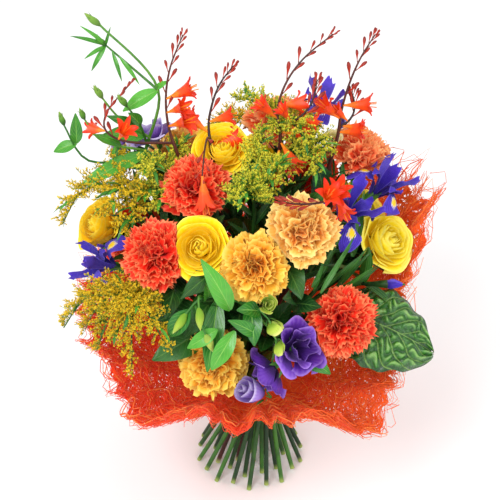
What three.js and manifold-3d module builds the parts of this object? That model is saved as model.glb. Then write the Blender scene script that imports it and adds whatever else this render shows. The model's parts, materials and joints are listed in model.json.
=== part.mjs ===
// Mixed flower bouquet in its wrapper: carnations, roses, irises, lisianthus, crocosmia, goldenrod
// and leaves, tied in a spiral and gathered into a collar of sisal sheet.
// Millimetres, +Z up. The origin is the cut end of the middle stem, on the surface it stands on.

import * as THREE from 'three';
import { ConvexGeometry } from 'three/addons/geometries/ConvexGeometry.js';
import { mergeVertices } from 'three/addons/utils/BufferGeometryUtils.js';
import Module from 'manifold-3d';

const wasm = await Module();
wasm.setup();

// ---- driving dimensions ----
const TIE_HEIGHT = 120;
const RING_STEMS = [1, 7, 13, 19];
const RING_RADIUS = [0, 6.2, 11.7, 17.4];
const RING_FOOT_RADIUS = [0, 21, 40, 58];
const STEM_RADIUS = 2.5;
const MIDDLE_STEM_RADIUS = 3.0;
const STEM_SIDES = 5;
const BRANCH_RADII = [1.5, 1.4, 1.2, 1.1, 0.9];
const SQUARE_SWELL = 1.08;
const STRAIGHT_ABOVE_TIE = 25;
const CUT_STEPS = [0, 3, 0, 5];
const STEM_TURN = 78;
const PETAL_THICKNESS = 0.8;
const LEAF_THICKNESS = 1.0;
const CLEARANCE = 0.35;
const SMALLEST_STEP = 0.12;

const NECK_RADIUS = 21.8;
const SHEET_THICKNESS = 1.0;
const COLLAR_POINTS = 32;
const COLLAR_STATIONS = [0.14, 0.4, 0.72, 1];
const BOWL_POWER = 1.5;
const TIE_INNER_RADIUS = 23.3;
const TWINE_RADIUS = 2;
const TWINE_TURNS = 3;
const TIE_SIDES = 15;

// ---- wrapper: azimuth, radius of the edge, height of the edge ----
const COLLAR = [
  [-180, 168, 216], [-160, 170, 216], [-143, 163, 204], [-129, 181, 184], [-110, 152, 194], [-88, 146, 188],
  [-68, 151, 190], [-48, 184, 175], [-28, 162, 194], [-10, 154, 256], [12, 184, 314], [38, 188, 298],
  [62, 178, 250], [90, 178, 232], [122, 188, 196], [152, 172, 228], [180, 168, 216],
];

const COLOURS = {
  red: [0xe0401f, 0.7],
  peach: [0xf3bb6a, 0.7],
  yellow: [0xf6d63a, 0.6],
  blue: [0x43289f, 0.6],
  purple: [0x6d3fb0, 0.6],
  orange: [0xe2521c, 0.6],
  gold: [0xd9b02c, 0.85],
  green: [0x3f8a3c, 0.55],
  dark_green: [0x24552b, 0.45],
  sisal: [0xe0561a, 0.95],
  twine: [0xb98a4e, 0.95],
};

// ---- single blooms: kind, colour, middle of the head, facing (azimuth, elevation), radius ----
const BLOOMS = {
  carnation_a: ['carnation', 'red', [-90, -78, 342], [-132, 42], 33],
  carnation_b: ['carnation', 'red', [88, -104, 280], [-62, 26], 35],
  carnation_c: ['carnation', 'red', [-50, -30, 386], [-105, 72], 33],
  carnation_d: ['carnation', 'red', [110, 63, 359], [-5, 58], 34],
  carnation_e: ['carnation', 'red', [28, 86, 384], [90, 76], 35],
  carnation_f: ['carnation', 'peach', [50, -72, 366], [-60, 56], 35],
  carnation_g: ['carnation', 'peach', [4, -104, 346], [-92, 42], 33],
  carnation_h: ['carnation', 'peach', [-36, -116, 238], [-100, 16], 35],
  carnation_i: ['carnation', 'peach', [-72, 84, 346], [130, 46], 37],
  carnation_j: ['carnation', 'red', [60, 122, 300], [62, 26], 37],
  carnation_k: ['carnation', 'peach', [-22, 128, 286], [98, 16], 37],
  carnation_l: ['carnation', 'red', [-120, 60, 262], [152, 8], 37],
  rose_a: ['rose', 'yellow', [-46, -84, 353], [-100, 44], 29],
  rose_b: ['rose', 'yellow', [136, -5, 300], [-42, 40], 32],
  rose_c: ['rose', 'yellow', [-27, 4, 403], [-95, 62], 28],
  rose_d: ['rose', 'yellow', [-150, 2, 313], [-152, 40], 29],
  rose_e: ['rose', 'yellow', [8, 102, 338], [90, 44], 32],
  rose_f: ['rose', 'yellow', [120, 74, 284], [34, 22], 31],
  iris_a: ['iris', 'blue', [94, -28, 352], [-30, 58], 36],
  iris_b: ['iris', 'blue', [130, 34, 338], [14, 46], 36],
  iris_c: ['iris', 'blue', [70, 86, 396], [50, 60], 34],
  iris_d: ['iris', 'blue', [-142, -30, 290], [-166, 24], 34],
  iris_e: ['iris', 'blue', [-70, 118, 290], [122, 20], 34],
};

// ---- crocosmia: top of the stem, then spikes (tip, bow of the middle, open florets) ----
const SPIKE_BUDS = 7;
const CROCOSMIA = {
  crocosmia_a: [[-68, 2, 396], [[[-62, 30, 513], [-14, 0, 0], 2], [[-112, 22, 466], [-42, -22, -6], 2]]],
  crocosmia_b: [[-36, 0, 401], [[[-16, 40, 474], [-10, 0, 6], 2], [[-44, -52, 412], [0, 0, 18], 1]]],
  crocosmia_c: [[29, 16, 405], [[[78, 58, 498], [-20, 0, 4], 2], [[64, 44, 456], [8, -6, -4], 2]]],
  crocosmia_d: [[84, 34, 392], [[[118, 60, 496], [-6, 0, 6], 2], [[98, 48, 440], [8, 0, -4], 1]]],
  crocosmia_e: [[80, -44, 384], [[[28, -76, 400], [4, -24, 12], 2]]],
};

// ---- goldenrod: top of the stem, then plumes (tip, bow of the middle) ----
const PLUME_SPRIGS = 7;
const GOLDENROD = {
  goldenrod_a: [[-104, -4, 344], [[[-184, -6, 322], [-6, 0, 34]], [[-138, -40, 356], [0, 0, 22]],
    [[-128, 30, 380], [-8, 0, 10]]]],
  goldenrod_b: [[-80, 10, 368], [[[-92, -30, 398], [-6, 0, 12]], [[-64, 20, 398], [0, 4, 6]]]],
  goldenrod_c: [[4, -40, 372], [[[-14, -72, 396], [0, 0, 14]], [[30, -24, 408], [4, 0, 8]],
    [[14, 24, 412], [0, 0, 8]]]],
  goldenrod_d: [[44, 40, 388], [[[-14, 54, 428], [0, 0, 16]], [[56, 34, 406], [6, 0, 4]],
    [[52, 0, 412], [0, 0, 12]]]],
  goldenrod_e: [[-92, -84, 282], [[[-184, -62, 236], [-4, -10, 40]], [[-148, -96, 238], [0, -10, 34]],
    [[-112, -130, 238], [0, -8, 30]], [[-78, -132, 272], [0, -6, 18]]]],
  goldenrod_f: [[20, 84, 330], [[[70, 160, 330], [0, 6, 26]], [[-40, 160, 322], [0, 6, 26]]]],
};

// ---- lisianthus: top of the stem, branches (start along the first branch, tip, bow, what it carries,
// size), leaves (branch, start along it, tip, width) ----
const LISIANTHUS = {
  lisianthus_a: ['purple', [24, -86, 262],
    [[0, [46, -132, 272], [0, -4, -8], 'bloom', 25], [0.2, [16, -130, 236], [0, -6, -4], 'bloom', 22],
      [0.1, [4, -142, 224], [0, -10, -20], 'bud', 19]],
    [[0, 0.3, [76, -138, 244], 22]]],
  lisianthus_b: ['green', [-12, -94, 298],
    [[0, [-64, -132, 304], [-4, -6, 22], 'bud', 8], [0.35, [-46, -142, 318], [-2, -4, 16], 'bud', 8],
      [0.5, [-38, -144, 290], [-2, -8, 12], 'bud', 8], [0.1, [22, -138, 304], [2, -6, 14], 'cup', 10],
      [0, [28, -140, 280], [4, -6, 8], 'cup', 10]],
    [[0, 0.3, [-40, -134, 352], 18], [0, 0.2, [-40, -148, 256], 20],
      [3, 0.3, [4, -150, 290], 18], [0, 0.6, [-76, -128, 282], 18],
      [3, 0.5, [-12, -146, 330], 16]]],
  lisianthus_c: ['green', [-103, 26, 372],
    [[0, [-142, 20, 534], [36, 0, 6], 'bud', 7], [0.33, [-138, 34, 504], [0, 6, -4], 'bud', 6],
      [0.02, [-176, 0, 440], [-16, -6, -20], 'bud', 6], [0.06, [-156, -4, 448], [-12, 0, -10], 'bud', 6],
      [0.12, [-140, 2, 468], [-4, 0, -4], 'bud', 7], [0.08, [-118, 0, 460], [4, 0, 0], 'bud', 7]],
    [[2, 0.5, [-164, 8, 442], 12], [2, 0.5, [-187, 2, 402], 12],
      [0, 0.05, [-166, -6, 366], 16], [0, 0.33, [-120, 14, 440], 14], [5, 0.3, [-114, 2, 446], 13]]],
  lisianthus_d: ['purple', [-80, 36, 352],
    [[0, [-96, 48, 394], [0, 0, 0], 'bloom', 21], [0.2, [-130, 46, 376], [-6, 0, 0], 'bloom', 15]],
    [[0, 0.1, [-140, 60, 352], 20]]],
};

// ---- leaves on their own stalks: root, tip, half width ----
const PUCKERED_LEAF = { root: [88, -66, 262], tip: [176, -92, 232], halfWidth: 43, rows: 8, columns: 7 };
const STRAP_LEAVES = {
  root: [110, -42, 276],
  tips: [[66, -94, 340], [112, -66, 340], [150, -66, 250]],
  halfWidth: 6,
  budTip: [150, -58, 288],
};

// ---- small helpers ----
function makeRandom(seed) {
  let state = seed;
  return () => {
    state = (state + 0x6d2b79f5) | 0;
    let mixed = Math.imul(state ^ (state >>> 15), 1 | state);
    mixed = (mixed + Math.imul(mixed ^ (mixed >>> 7), 61 | mixed)) ^ mixed;
    return ((mixed ^ (mixed >>> 14)) >>> 0) / 4294967296;
  };
}

const random = makeRandom(7);
const radians = THREE.MathUtils.degToRad;
const point = (list) => new THREE.Vector3(...list);

function directionOf([azimuth, elevation]) {
  const flat = Math.cos(radians(elevation));
  return new THREE.Vector3(flat * Math.cos(radians(azimuth)), flat * Math.sin(radians(azimuth)),
    Math.sin(radians(elevation)));
}

function polar(radius, angle, height) {
  return new THREE.Vector3(radius * Math.cos(angle), radius * Math.sin(angle), height);
}

// Turns a head built about +Z at the origin to its place and facing.
function headFrame(middle, facing, spin) {
  const z = facing.clone().normalize();
  const side = Math.abs(z.z) > 0.95 ? new THREE.Vector3(1, 0, 0) : new THREE.Vector3(0, 0, 1);
  const x = new THREE.Vector3().crossVectors(side, z).normalize();
  const y = new THREE.Vector3().crossVectors(z, x);
  const frame = new THREE.Matrix4().makeBasis(x, y, z);
  return frame.multiply(new THREE.Matrix4().makeRotationZ(spin)).setPosition(middle);
}

// ---- closed bodies from points and triangles ----
function solid(points, faces) {
  let volume = 0;
  for (const [a, b, c] of faces) {
    volume += points[a].dot(points[b].clone().cross(points[c]));
  }
  const outward = volume > 0 ? faces : faces.map(([a, b, c]) => [a, c, b]);
  return new wasm.Manifold(new wasm.Mesh({
    numProp: 3,
    vertProperties: new Float32Array(points.flatMap((p) => [p.x, p.y, p.z])),
    triVerts: new Uint32Array(outward.flat()),
  }));
}

// Triangles between two rows of vertex numbers, which may differ in length.
function stitch(low, high, closed = false) {
  const a = closed && low.length > 1 ? [...low, low[0]] : low;
  const b = closed && high.length > 1 ? [...high, high[0]] : high;
  const faces = [];
  let i = 0;
  let j = 0;
  while (i < a.length - 1 || j < b.length - 1) {
    const nextA = i < a.length - 1 ? (i + 1) / (a.length - 1) : Infinity;
    const nextB = j < b.length - 1 ? (j + 1) / (b.length - 1) : Infinity;
    if (nextA < nextB) {
      faces.push([a[i], a[i + 1], b[j]]);
      i += 1;
    } else {
      faces.push([a[i], b[j + 1], b[j]]);
      j += 1;
    }
  }
  return faces;
}

function vertexNormals(points, faces) {
  const normals = points.map(() => new THREE.Vector3());
  for (const [a, b, c] of faces) {
    const edge = points[b].clone().sub(points[a]);
    const normal = edge.cross(points[c].clone().sub(points[a]));
    [a, b, c].forEach((k) => normals[k].add(normal));
  }
  return normals.map((normal) => normal.normalize());
}

// A thin blade about a middle surface given as rows of points, the same triangles on both faces.
function blade(rows, thickness) {
  const points = rows.flat();
  let start = 0;
  const numbers = rows.map((row) => row.map(() => start++));
  const top = [];
  for (let r = 0; r < rows.length - 1; r += 1) {
    top.push(...stitch(numbers[r], numbers[r + 1]));
  }
  const normals = vertexNormals(points, top);
  const half = thickness / 2;
  const upper = points.map((p, k) => p.clone().addScaledVector(normals[k], half));
  const lower = points.map((p, k) => p.clone().addScaledVector(normals[k], -half));
  const count = points.length;
  const left = numbers.slice(1, -1).map((row) => row[0]);
  const right = numbers.slice(1, -1).map((row) => row[row.length - 1]);
  const rim = [...numbers[0], ...right, ...[...numbers[numbers.length - 1]].reverse(), ...left.reverse()];
  const faces = [...top, ...top.map(([a, b, c]) => [a + count, c + count, b + count])];
  rim.forEach((a, k) => {
    const b = rim[(k + 1) % rim.length];
    faces.push([a, a + count, b], [b, a + count, b + count]);
  });
  return solid([...upper, ...lower], orient(faces));
}

// Rim triangles of a blade run either way round; they are turned to agree with the faces they meet.
function orient(faces) {
  const seen = new Set();
  const key = (a, b) => `${a}_${b}`;
  const done = [];
  const byEdge = new Map();
  faces.forEach((face, k) => {
    face.forEach((a, n) => {
      const b = face[(n + 1) % 3];
      const name = a < b ? key(a, b) : key(b, a);
      byEdge.set(name, [...(byEdge.get(name) ?? []), k]);
    });
  });
  const queue = [0];
  done[0] = faces[0];
  seen.add(0);
  while (queue.length) {
    const current = queue.pop();
    const face = done[current];
    face.forEach((a, n) => {
      const b = face[(n + 1) % 3];
      const name = a < b ? key(a, b) : key(b, a);
      for (const other of byEdge.get(name)) {
        if (!seen.has(other)) {
          const [p, q, r] = faces[other];
          const sameWay = [[p, q], [q, r], [r, p]].some(([s, t]) => s === a && t === b);
          done[other] = sameWay ? [p, r, q] : [p, q, r];
          seen.add(other);
          queue.push(other);
        }
      }
    });
  }
  return done;
}

// A closed round body along a path; a radius of 0 at an end makes a point there.
function sweep(path, radii, sides, flatStart = false) {
  const points = [];
  const rings = [];
  const first = path[1].clone().sub(path[0]).normalize();
  const helper = Math.abs(first.z) > 0.9 ? new THREE.Vector3(1, 0, 0) : new THREE.Vector3(0, 0, 1);
  let across = new THREE.Vector3().crossVectors(first, helper).normalize();
  path.forEach((at, k) => {
    const before = path[Math.max(k - 1, 0)];
    const after = path[Math.min(k + 1, path.length - 1)];
    const along = after.clone().sub(before).normalize();
    across = across.clone().addScaledVector(along, -across.dot(along)).normalize();
    const other = new THREE.Vector3().crossVectors(along, across);
    const ring = [];
    const corners = radii[k] > 0 ? sides : 1;
    for (let s = 0; s < corners; s += 1) {
      const angle = (2 * Math.PI * s) / sides;
      const corner = at.clone();
      corner.addScaledVector(across, radii[k] * Math.cos(angle));
      corner.addScaledVector(other, radii[k] * Math.sin(angle));
      if (flatStart && k === 0) {
        corner.addScaledVector(along, (at.z - corner.z) / along.z);
      }
      ring.push(points.push(corner) - 1);
    }
    rings.push(ring);
  });
  const faces = [];
  for (let k = 0; k < rings.length - 1; k += 1) {
    faces.push(...stitch(rings[k], rings[k + 1], true));
  }
  [rings[0], rings[rings.length - 1]].forEach((ring) => {
    for (let s = 1; s < ring.length - 1; s += 1) {
      faces.push([ring[0], ring[s], ring[s + 1]]);
    }
  });
  return solid(points, orient(faces));
}

const join = (bodies) => wasm.Manifold.union(bodies);

function verticesOf(body) {
  const mesh = body.getMesh();
  const list = [];
  for (let k = 0; k < mesh.vertProperties.length; k += mesh.numProp) {
    list.push(new THREE.Vector3().fromArray(mesh.vertProperties, k));
  }
  return list;
}

// The convex shape round a body, grown by the clearance: what a leaf or the sheet keeps out of.
function keepOut(body) {
  const corners = verticesOf(body);
  const middle = new THREE.Box3().setFromPoints(corners).getCenter(new THREE.Vector3());
  const grown = corners.map((p) => {
    const outward = p.clone().sub(middle).normalize();
    return p.clone().addScaledVector(outward, 2 * CLEARANCE);
  });
  const hull = new ConvexGeometry(grown);
  hull.deleteAttribute('normal');
  const merged = mergeVertices(hull, 1e-4);
  const { position } = merged.attributes;
  const points = Array.from({ length: position.count }, (_, k) => new THREE.Vector3()
    .fromBufferAttribute(position, k));
  const faces = [];
  for (let k = 0; k < merged.index.count; k += 3) {
    faces.push([0, 1, 2].map((n) => merged.index.getX(k + n)));
  }
  return solid(points, faces.filter((face) => new Set(face).size === 3));
}

function quadratic(from, to, bow, steps) {
  const control = from.clone().add(to).multiplyScalar(0.5).addScaledVector(bow, 2);
  return new THREE.QuadraticBezierCurve3(from, control, to).getPoints(steps);
}

function alongPath(path, fraction) {
  const scaled = Math.min(Math.max(fraction, 0), 0.999) * (path.length - 1);
  const k = Math.floor(scaled);
  const at = path[k].clone().lerp(path[k + 1], scaled - k);
  const along = path[k + 1].clone().sub(path[k]).normalize();
  return { at, along };
}

// ---- petals ----
// Separate petals about +Z. Each row of the profile is [radius, height, half width, columns].
function petals(count, spin, profile, frame) {
  return Array.from({ length: count }, (_, n) => {
    const heading = spin + (2 * Math.PI * n) / count;
    const row = ([radius, height, halfWidth, columns]) => Array.from({ length: columns }, (__, c) => {
      const across = columns > 1 ? (2 * c) / (columns - 1) - 1 : 0;
      const angle = heading + (across * halfWidth) / Math.max(radius, 1);
      return polar(radius, angle, height).applyMatrix4(frame);
    });
    return blade(profile.map(row), PETAL_THICKNESS);
  });
}

// A head of petal layers about +Z, one above the other, as a single closed body. Each layer is
// [petals, points for each petal, turn, reach, rim height]: its rim is toothed and waved, with a notch
// between two petals. A narrow waist joins a layer to the next. All sizes are shares of R.
function layeredHead(frame, R, { foot, top, waist, notch, wave, tooth, layers }) {
  const spin = random() * 6;
  const rows = [[new THREE.Vector3(0, 0, foot * R)]];
  layers.forEach(([count, edge, turn, reach, rim], k) => {
    const total = count * edge;
    rows.push(Array.from({ length: total }, (_, n) => {
      const parity = n % 2 ? 1 : -1;
      const share = n % edge === 0 ? notch : 1 + tooth * parity;
      const height = (rim + (n % edge === 0 ? -0.08 : wave * parity)) * R;
      return polar(reach * share * R, spin + turn + (2 * Math.PI * n) / total, height);
    }));
    if (k < layers.length - 1) {
      const [, , , , nextRim] = layers[k + 1];
      const height = (rim * 0.6 + nextRim * 0.4 - 0.12) * R;
      rows.push(Array.from({ length: count }, (_, n) => polar(waist * reach * R,
        spin + turn + (2 * Math.PI * n) / count, height)));
    }
  });
  rows.push([new THREE.Vector3(0, 0, top * R)]);
  const points = rows.flat();
  let start = 0;
  const numbers = rows.map((row) => row.map(() => start++));
  const faces = [];
  for (let r = 0; r < rows.length - 1; r += 1) {
    faces.push(...stitch(numbers[r], numbers[r + 1], true));
  }
  return solid(points.map((p) => p.applyMatrix4(frame)), orient(faces));
}

function turned(frame, heights, radii, sides) {
  return sweep(heights.map((height) => new THREE.Vector3(0, 0, height).applyMatrix4(frame)), radii, sides);
}

// Each maker returns the petals of a head of radius R about +Z. NECKS gives the green part below it,
// as [height, radius] steps from the stem's end up into the head, both as shares of R.
const HEADS = {
  carnation(frame, R) {
    return [layeredHead(frame, R, { foot: -0.42, top: 0.44, waist: 0.36, notch: 0.76, wave: 0.05,
      tooth: 0.05, layers: [[6, 4, 0, 0.97, -0.1], [5, 4, 0.5, 0.84, 0.2], [5, 3, 0.2, 0.54, 0.46]] })];
  },
  rose(frame, R) {
    return [layeredHead(frame, R, { foot: -0.5, top: 0.58, waist: 0.5, notch: 0.84, wave: 0.03, tooth: 0.03,
      layers: [[5, 3, 0, 0.98, 0.04], [5, 3, 0.6, 0.72, 0.34], [4, 3, 0.2, 0.4, 0.52]] })];
  },
  iris(frame, R) {
    const spin = random() * 6;
    return [...petals(3, spin, [[0.04 * R, -0.36 * R, 0, 1], [0.6 * R, 0.06 * R, 0.18 * R, 3],
      [0.95 * R, -0.08 * R, 0.38 * R, 3], [1.02 * R, -0.4 * R, 0, 1]], frame),
    ...petals(3, spin + Math.PI / 3, [[0.04 * R, -0.3 * R, 0, 1], [0.45 * R, 0.6 * R, 0.26 * R, 3],
      [0.42 * R, 1.05 * R, 0, 1]], frame),
    ...petals(3, spin, [[0.04 * R, -0.26 * R, 0, 1], [0.38 * R, 0.3 * R, 0.13 * R, 2],
      [0.72 * R, 0.3 * R, 0.13 * R, 2]], frame)];
  },
  bloom(frame, R) {
    return [layeredHead(frame, R, { foot: -0.5, top: 0.3, waist: 0.4, notch: 0.74, wave: 0.06, tooth: 0.05,
      layers: [[5, 3, 0, 0.97, 0.14], [5, 3, 0.6, 0.62, 0.44]] })];
  },
  bud(frame, R) {
    return [turned(frame, [-1.1 * R, 0.2 * R, 1.3 * R], [0.35 * R, 0.68 * R, 0], 4)];
  },
  cup(frame, R) {
    return [layeredHead(frame, R, { foot: -0.9, top: 0.2, waist: 0.5, notch: 0.8, wave: 0.05, tooth: 0.05,
      layers: [[5, 3, 0, 0.85, 0.6]] })];
  },
};

const NECKS = {
  carnation: [[-0.95, 0.07], [-0.8, 0.16], [-0.42, 0.19], [-0.22, 0.1]],
  rose: [[-0.82, 0.09], [-0.68, 0.22], [-0.42, 0.24], [-0.3, 0.1]],
  iris: [[-1.1, 0.07], [-0.8, 0.13], [-0.4, 0.1], [-0.2, 0.06]],
  bloom: [[-0.75, 0.07], [-0.5, 0.2], [-0.35, 0.1]],
  bud: [[-1.3, 0.16], [-0.9, 0.3]],
  cup: [[-1.1, 0.2], [-0.6, 0.3]],
};

function leafRows(root, tip, halfWidth) {
  const along = tip.clone().sub(root);
  const across = along.clone().cross(new THREE.Vector3(0.2, 0.1, 1)).normalize();
  const up = across.clone().cross(along).normalize();
  const row = (t, width, lift) => [-1, 0, 1].map((side) => root.clone().addScaledVector(along, t)
    .addScaledVector(across, side * width * halfWidth)
    .addScaledVector(up, lift + Math.abs(side) * width * halfWidth * 0.35));
  return [[root], row(0.32, 0.92, 0), row(0.68, 0.8, 1), [tip]];
}

// ---- heads: every head is trimmed to its own side of the plane between it and a neighbour ----
const heads = [];

function addHead(owner, kind, middle, look, R) {
  const frame = headFrame(middle, look, 0);
  const head = { owner, middle, R, body: join(HEADS[kind](frame, R)) };
  heads.push(head);
  head.neck = NECKS[kind].map(([height]) => middle.clone().addScaledVector(look, height * R));
  head.neckRadii = NECKS[kind].map(([, radius]) => radius * R);
  return head;
}

function trimToNeighbours(head) {
  for (const other of heads) {
    const away = other.middle.clone().sub(head.middle);
    const apart = away.length();
    if (other.owner !== head.owner && apart < 1.08 * (head.R + other.R)) {
      const share = (apart ** 2 + head.R ** 2 - other.R ** 2) / (2 * apart);
      away.normalize().negate();
      const offset = away.dot(head.middle) - share + CLEARANCE / 2;
      head.body = head.body.trimByPlane(away.toArray(), offset);
    }
  }
}

// Moves the inner points of a path out of the heads that it would run through.
function bendClear(path, owner, fixed) {
  for (let round = 0; round < 4; round += 1) {
    for (let k = fixed; k < path.length - 1; k += 1) {
      for (const { middle, R, owner: other } of heads) {
        const away = path[k].clone().sub(middle);
        const needed = 0.82 * R + 3;
        if (other !== owner && away.length() < needed) {
          path[k].copy(middle).addScaledVector(away.normalize(), needed);
        }
      }
    }
  }
  return path;
}

// ---- stems: each crosses the tie in its own place, like the rulings of nested hyperboloids ----
function stemPath({ place, base, facing, name }) {
  const { ring, angle, cut } = place;
  const radius = RING_RADIUS[ring];
  const slope = Math.sqrt(RING_FOOT_RADIUS[ring] ** 2 - radius ** 2) / TIE_HEIGHT;
  const waist = polar(radius, angle, TIE_HEIGHT);
  const along = new THREE.Vector3(-Math.sin(angle) * slope, Math.cos(angle) * slope, 1);
  const foot = waist.clone().addScaledVector(along, cut - TIE_HEIGHT);
  const leave = waist.clone().addScaledVector(along, STRAIGHT_ABOVE_TIE);
  const reach = leave.distanceTo(base) / 3;
  const curve = new THREE.CubicBezierCurve3(leave,
    leave.clone().addScaledVector(along.normalize(), reach),
    base.clone().addScaledVector(facing, -reach), base);
  return bendClear([foot, ...curve.getPoints(4)], name, 3);
}

// Flowers that lean furthest out take the outer places; each ring is filled in order of azimuth.
function givePlaces(items) {
  const lean = ({ base }) => Math.hypot(base.x, base.y) / (base.z - TIE_HEIGHT);
  const outward = [...items].sort((a, b) => lean(b) - lean(a));
  let taken = 0;
  for (let ring = RING_STEMS.length - 1; ring >= 0; ring -= 1) {
    const members = outward.slice(taken, taken + RING_STEMS[ring]);
    taken += members.length;
    const azimuth = (item) => Math.atan2(item.base.y, item.base.x);
    members.sort((a, b) => azimuth(a) - azimuth(b));
    const step = (2 * Math.PI) / RING_STEMS[ring];
    const offset = members.reduce((sum, item, n) => sum + azimuth(item) - n * step, 0) / members.length;
    members.forEach((item, n) => {
      const angle = offset + n * step - radians(STEM_TURN);
      item.place = { ring, angle, cut: ring ? CUT_STEPS[(n + ring) % CUT_STEPS.length] + 3 - ring : 0 };
    });
  }
}

// ---- flowers and sprays: tubes have the first claim on space, then heads, then small parts ----
const items = [];
const addItem = (name, colour, base, facing) => {
  const item = { name, colour, base, facing: facing.clone().normalize() };
  Object.assign(item, { heads: [], tubes: [], trims: [], leaves: [] });
  items.push(item);
  return item;
};
const upAndOut = (base, share) => new THREE.Vector3(base.x * share, base.y * share, 1);

for (const [name, [kind, colour, middle, facing, R]] of Object.entries(BLOOMS)) {
  const look = directionOf(facing);
  const head = addHead(name, kind, point(middle), look, R);
  addItem(name, colour, head.neck[0], look).heads.push(head);
}

for (const [name, [colour, base, branches, leaves]] of Object.entries(LISIANTHUS)) {
  const start = point(base);
  const item = addItem(name, colour, start, upAndOut(start, 0.005));
  for (const [from, tip, bow, kind, R] of branches) {
    const root = item.tubes.length ? alongPath(item.tubes[0].path, from).at : start;
    const path = quadratic(root, point(tip), point(bow), 4);
    const look = path[4].clone().sub(path[3]).normalize();
    const head = addHead(name, kind, point(tip), look, R);
    item.heads.push(head);
    item.tubes.push({ path: [path[0], path[2], ...head.neck], radii: [...BRANCH_RADII.slice(0, 2),
      ...head.neckRadii], sides: 3 });
  }
  for (const [branch, from, tip, width] of leaves) {
    item.leaves.push(blade(leafRows(alongPath(item.tubes[branch].path, from).at, point(tip), width / 2),
      LEAF_THICKNESS));
  }
}

// A slim body pointed at both ends, widest at a share of its length.
function spindle(at, heading, length, radius, sides, widest = 0.55) {
  return sweep([at, at.clone().addScaledVector(heading, length * widest),
    at.clone().addScaledVector(heading, length)], [0, radius, 0], sides);
}

// A six-lobed funnel: a star-shaped rim between a point at the stem and a low point in the throat.
function floret(at, heading, length = 22, opening = 14) {
  const frame = headFrame(at, heading, random() * 6);
  const points = [new THREE.Vector3(0, 0, -0.5), new THREE.Vector3(0, 0, length * 0.5)];
  for (let n = 0; n < 12; n += 1) {
    const [radius, height] = n % 2 ? [opening * 0.34, length * 0.66] : [opening, length * 0.9];
    points.push(polar(radius, (n * Math.PI) / 6, height));
  }
  const faces = [];
  for (let n = 0; n < 12; n += 1) {
    const a = 2 + n;
    const b = 2 + ((n + 1) % 12);
    faces.push([0, b, a], [1, a, b]);
  }
  return solid(points.map((p) => p.applyMatrix4(frame)), faces);
}

for (const [name, [base, spikes]] of Object.entries(CROCOSMIA)) {
  const start = point(base);
  const item = addItem(name, 'orange', start, upAndOut(start, 0.003));
  for (const [tip, bow, florets] of spikes) {
    const root = item.tubes.length ? alongPath(item.tubes[0].path, 0.12 * item.tubes.length).at : start;
    const path = bendClear(quadratic(root, point(tip), point(bow), 4), name, 1);
    item.tubes.push({ path, radii: BRANCH_RADII, sides: 3 });
    const side = point(tip).sub(start).cross(new THREE.Vector3(0.2, 1, 0.1)).normalize();
    for (let n = 0; n < SPIKE_BUDS; n += 1) {
      const { at, along } = alongPath(path, 0.42 + (0.57 * n) / SPIKE_BUDS);
      const heading = along.clone().addScaledVector(side, n % 2 ? 0.9 : -0.9).normalize();
      const size = 1 - (0.55 * n) / SPIKE_BUDS;
      item.trims.push(spindle(at, heading, 16 * size, 2.9 * size, 3, 0.6));
    }
    for (let n = 0; n < florets; n += 1) {
      const { at, along } = alongPath(path, 0.12 + (0.3 * n) / florets);
      const heading = along.clone().multiplyScalar(0.5).addScaledVector(side, n % 2 ? 1 : -1).normalize();
      item.trims.push(floret(at, heading));
    }
  }
}

for (const [name, [base, plumes]] of Object.entries(GOLDENROD)) {
  const start = point(base);
  const item = addItem(name, 'gold', start, upAndOut(start, 0.005));
  for (const [tip, bow] of plumes) {
    const root = item.tubes.length ? alongPath(item.tubes[0].path, 0.08 * item.tubes.length).at : start;
    const path = bendClear(quadratic(root, point(tip), point(bow), 4), name, 1);
    item.tubes.push({ path, radii: BRANCH_RADII, sides: 3 });
    for (let n = 0; n < PLUME_SPRIGS; n += 1) {
      const t = 0.25 + (0.74 * n) / PLUME_SPRIGS;
      const { at, along } = alongPath(path, t);
      const up = new THREE.Vector3(0, 0, 1).addScaledVector(along, -along.z).normalize();
      const side = along.clone().cross(up);
      const turn = ((n % 3) - 1) * 1.05;
      const heading = along.clone().multiplyScalar(0.7).addScaledVector(up, Math.cos(turn))
        .addScaledVector(side, Math.sin(turn) * 1.3).normalize();
      const size = 1.15 - 0.5 * t;
      item.trims.push(spindle(at, heading, 20 * size, 3.8 * size, 3));
    }
  }
}

// The large leaf is puckered between its side veins, and its edge is waved.
function puckeredLeaf({ root, tip, halfWidth, rows, columns }) {
  const from = point(root);
  const along = point(tip).sub(from);
  const across = along.clone().cross(new THREE.Vector3(0.45, -0.55, 0.7)).normalize();
  const up = across.clone().cross(along).normalize();
  const grid = [[from]];
  for (let r = 1; r <= rows; r += 1) {
    const t = r / (rows + 1);
    const width = halfWidth * Math.sin(Math.PI * t ** 0.8) ** 0.62;
    grid.push(Array.from({ length: columns }, (_, c) => {
      const side = (2 * c) / (columns - 1) - 1;
      const pucker = 2.4 * Math.cos(Math.PI * (r + Math.abs(side) * 2)) * (c % 2 ? 1 : -0.6);
      const wave = 3 * Math.abs(side) ** 3 * Math.sin(r * 2.1 + side);
      const lift = 9 * Math.sin(Math.PI * t) - 12 * side * side + pucker + wave;
      return from.clone().addScaledVector(along, t - 0.12 * Math.abs(side) * (0.5 - t))
        .addScaledVector(across, side * width).addScaledVector(up, lift);
    }));
  }
  grid.push([point(tip)]);
  return blade(grid, LEAF_THICKNESS);
}

function addPuckeredLeaf() {
  const start = point(PUCKERED_LEAF.root);
  const towards = point(PUCKERED_LEAF.tip).sub(start).normalize();
  const along = (distance) => start.clone().addScaledVector(towards, distance);
  const item = addItem('puckered_leaf', 'dark_green', along(-5), upAndOut(start, 0.008));
  item.leaves.push(puckeredLeaf(PUCKERED_LEAF));
  item.tubes.push({ path: [along(-6), along(20)], radii: [1.8, 1.2], sides: 4 });
}

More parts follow.
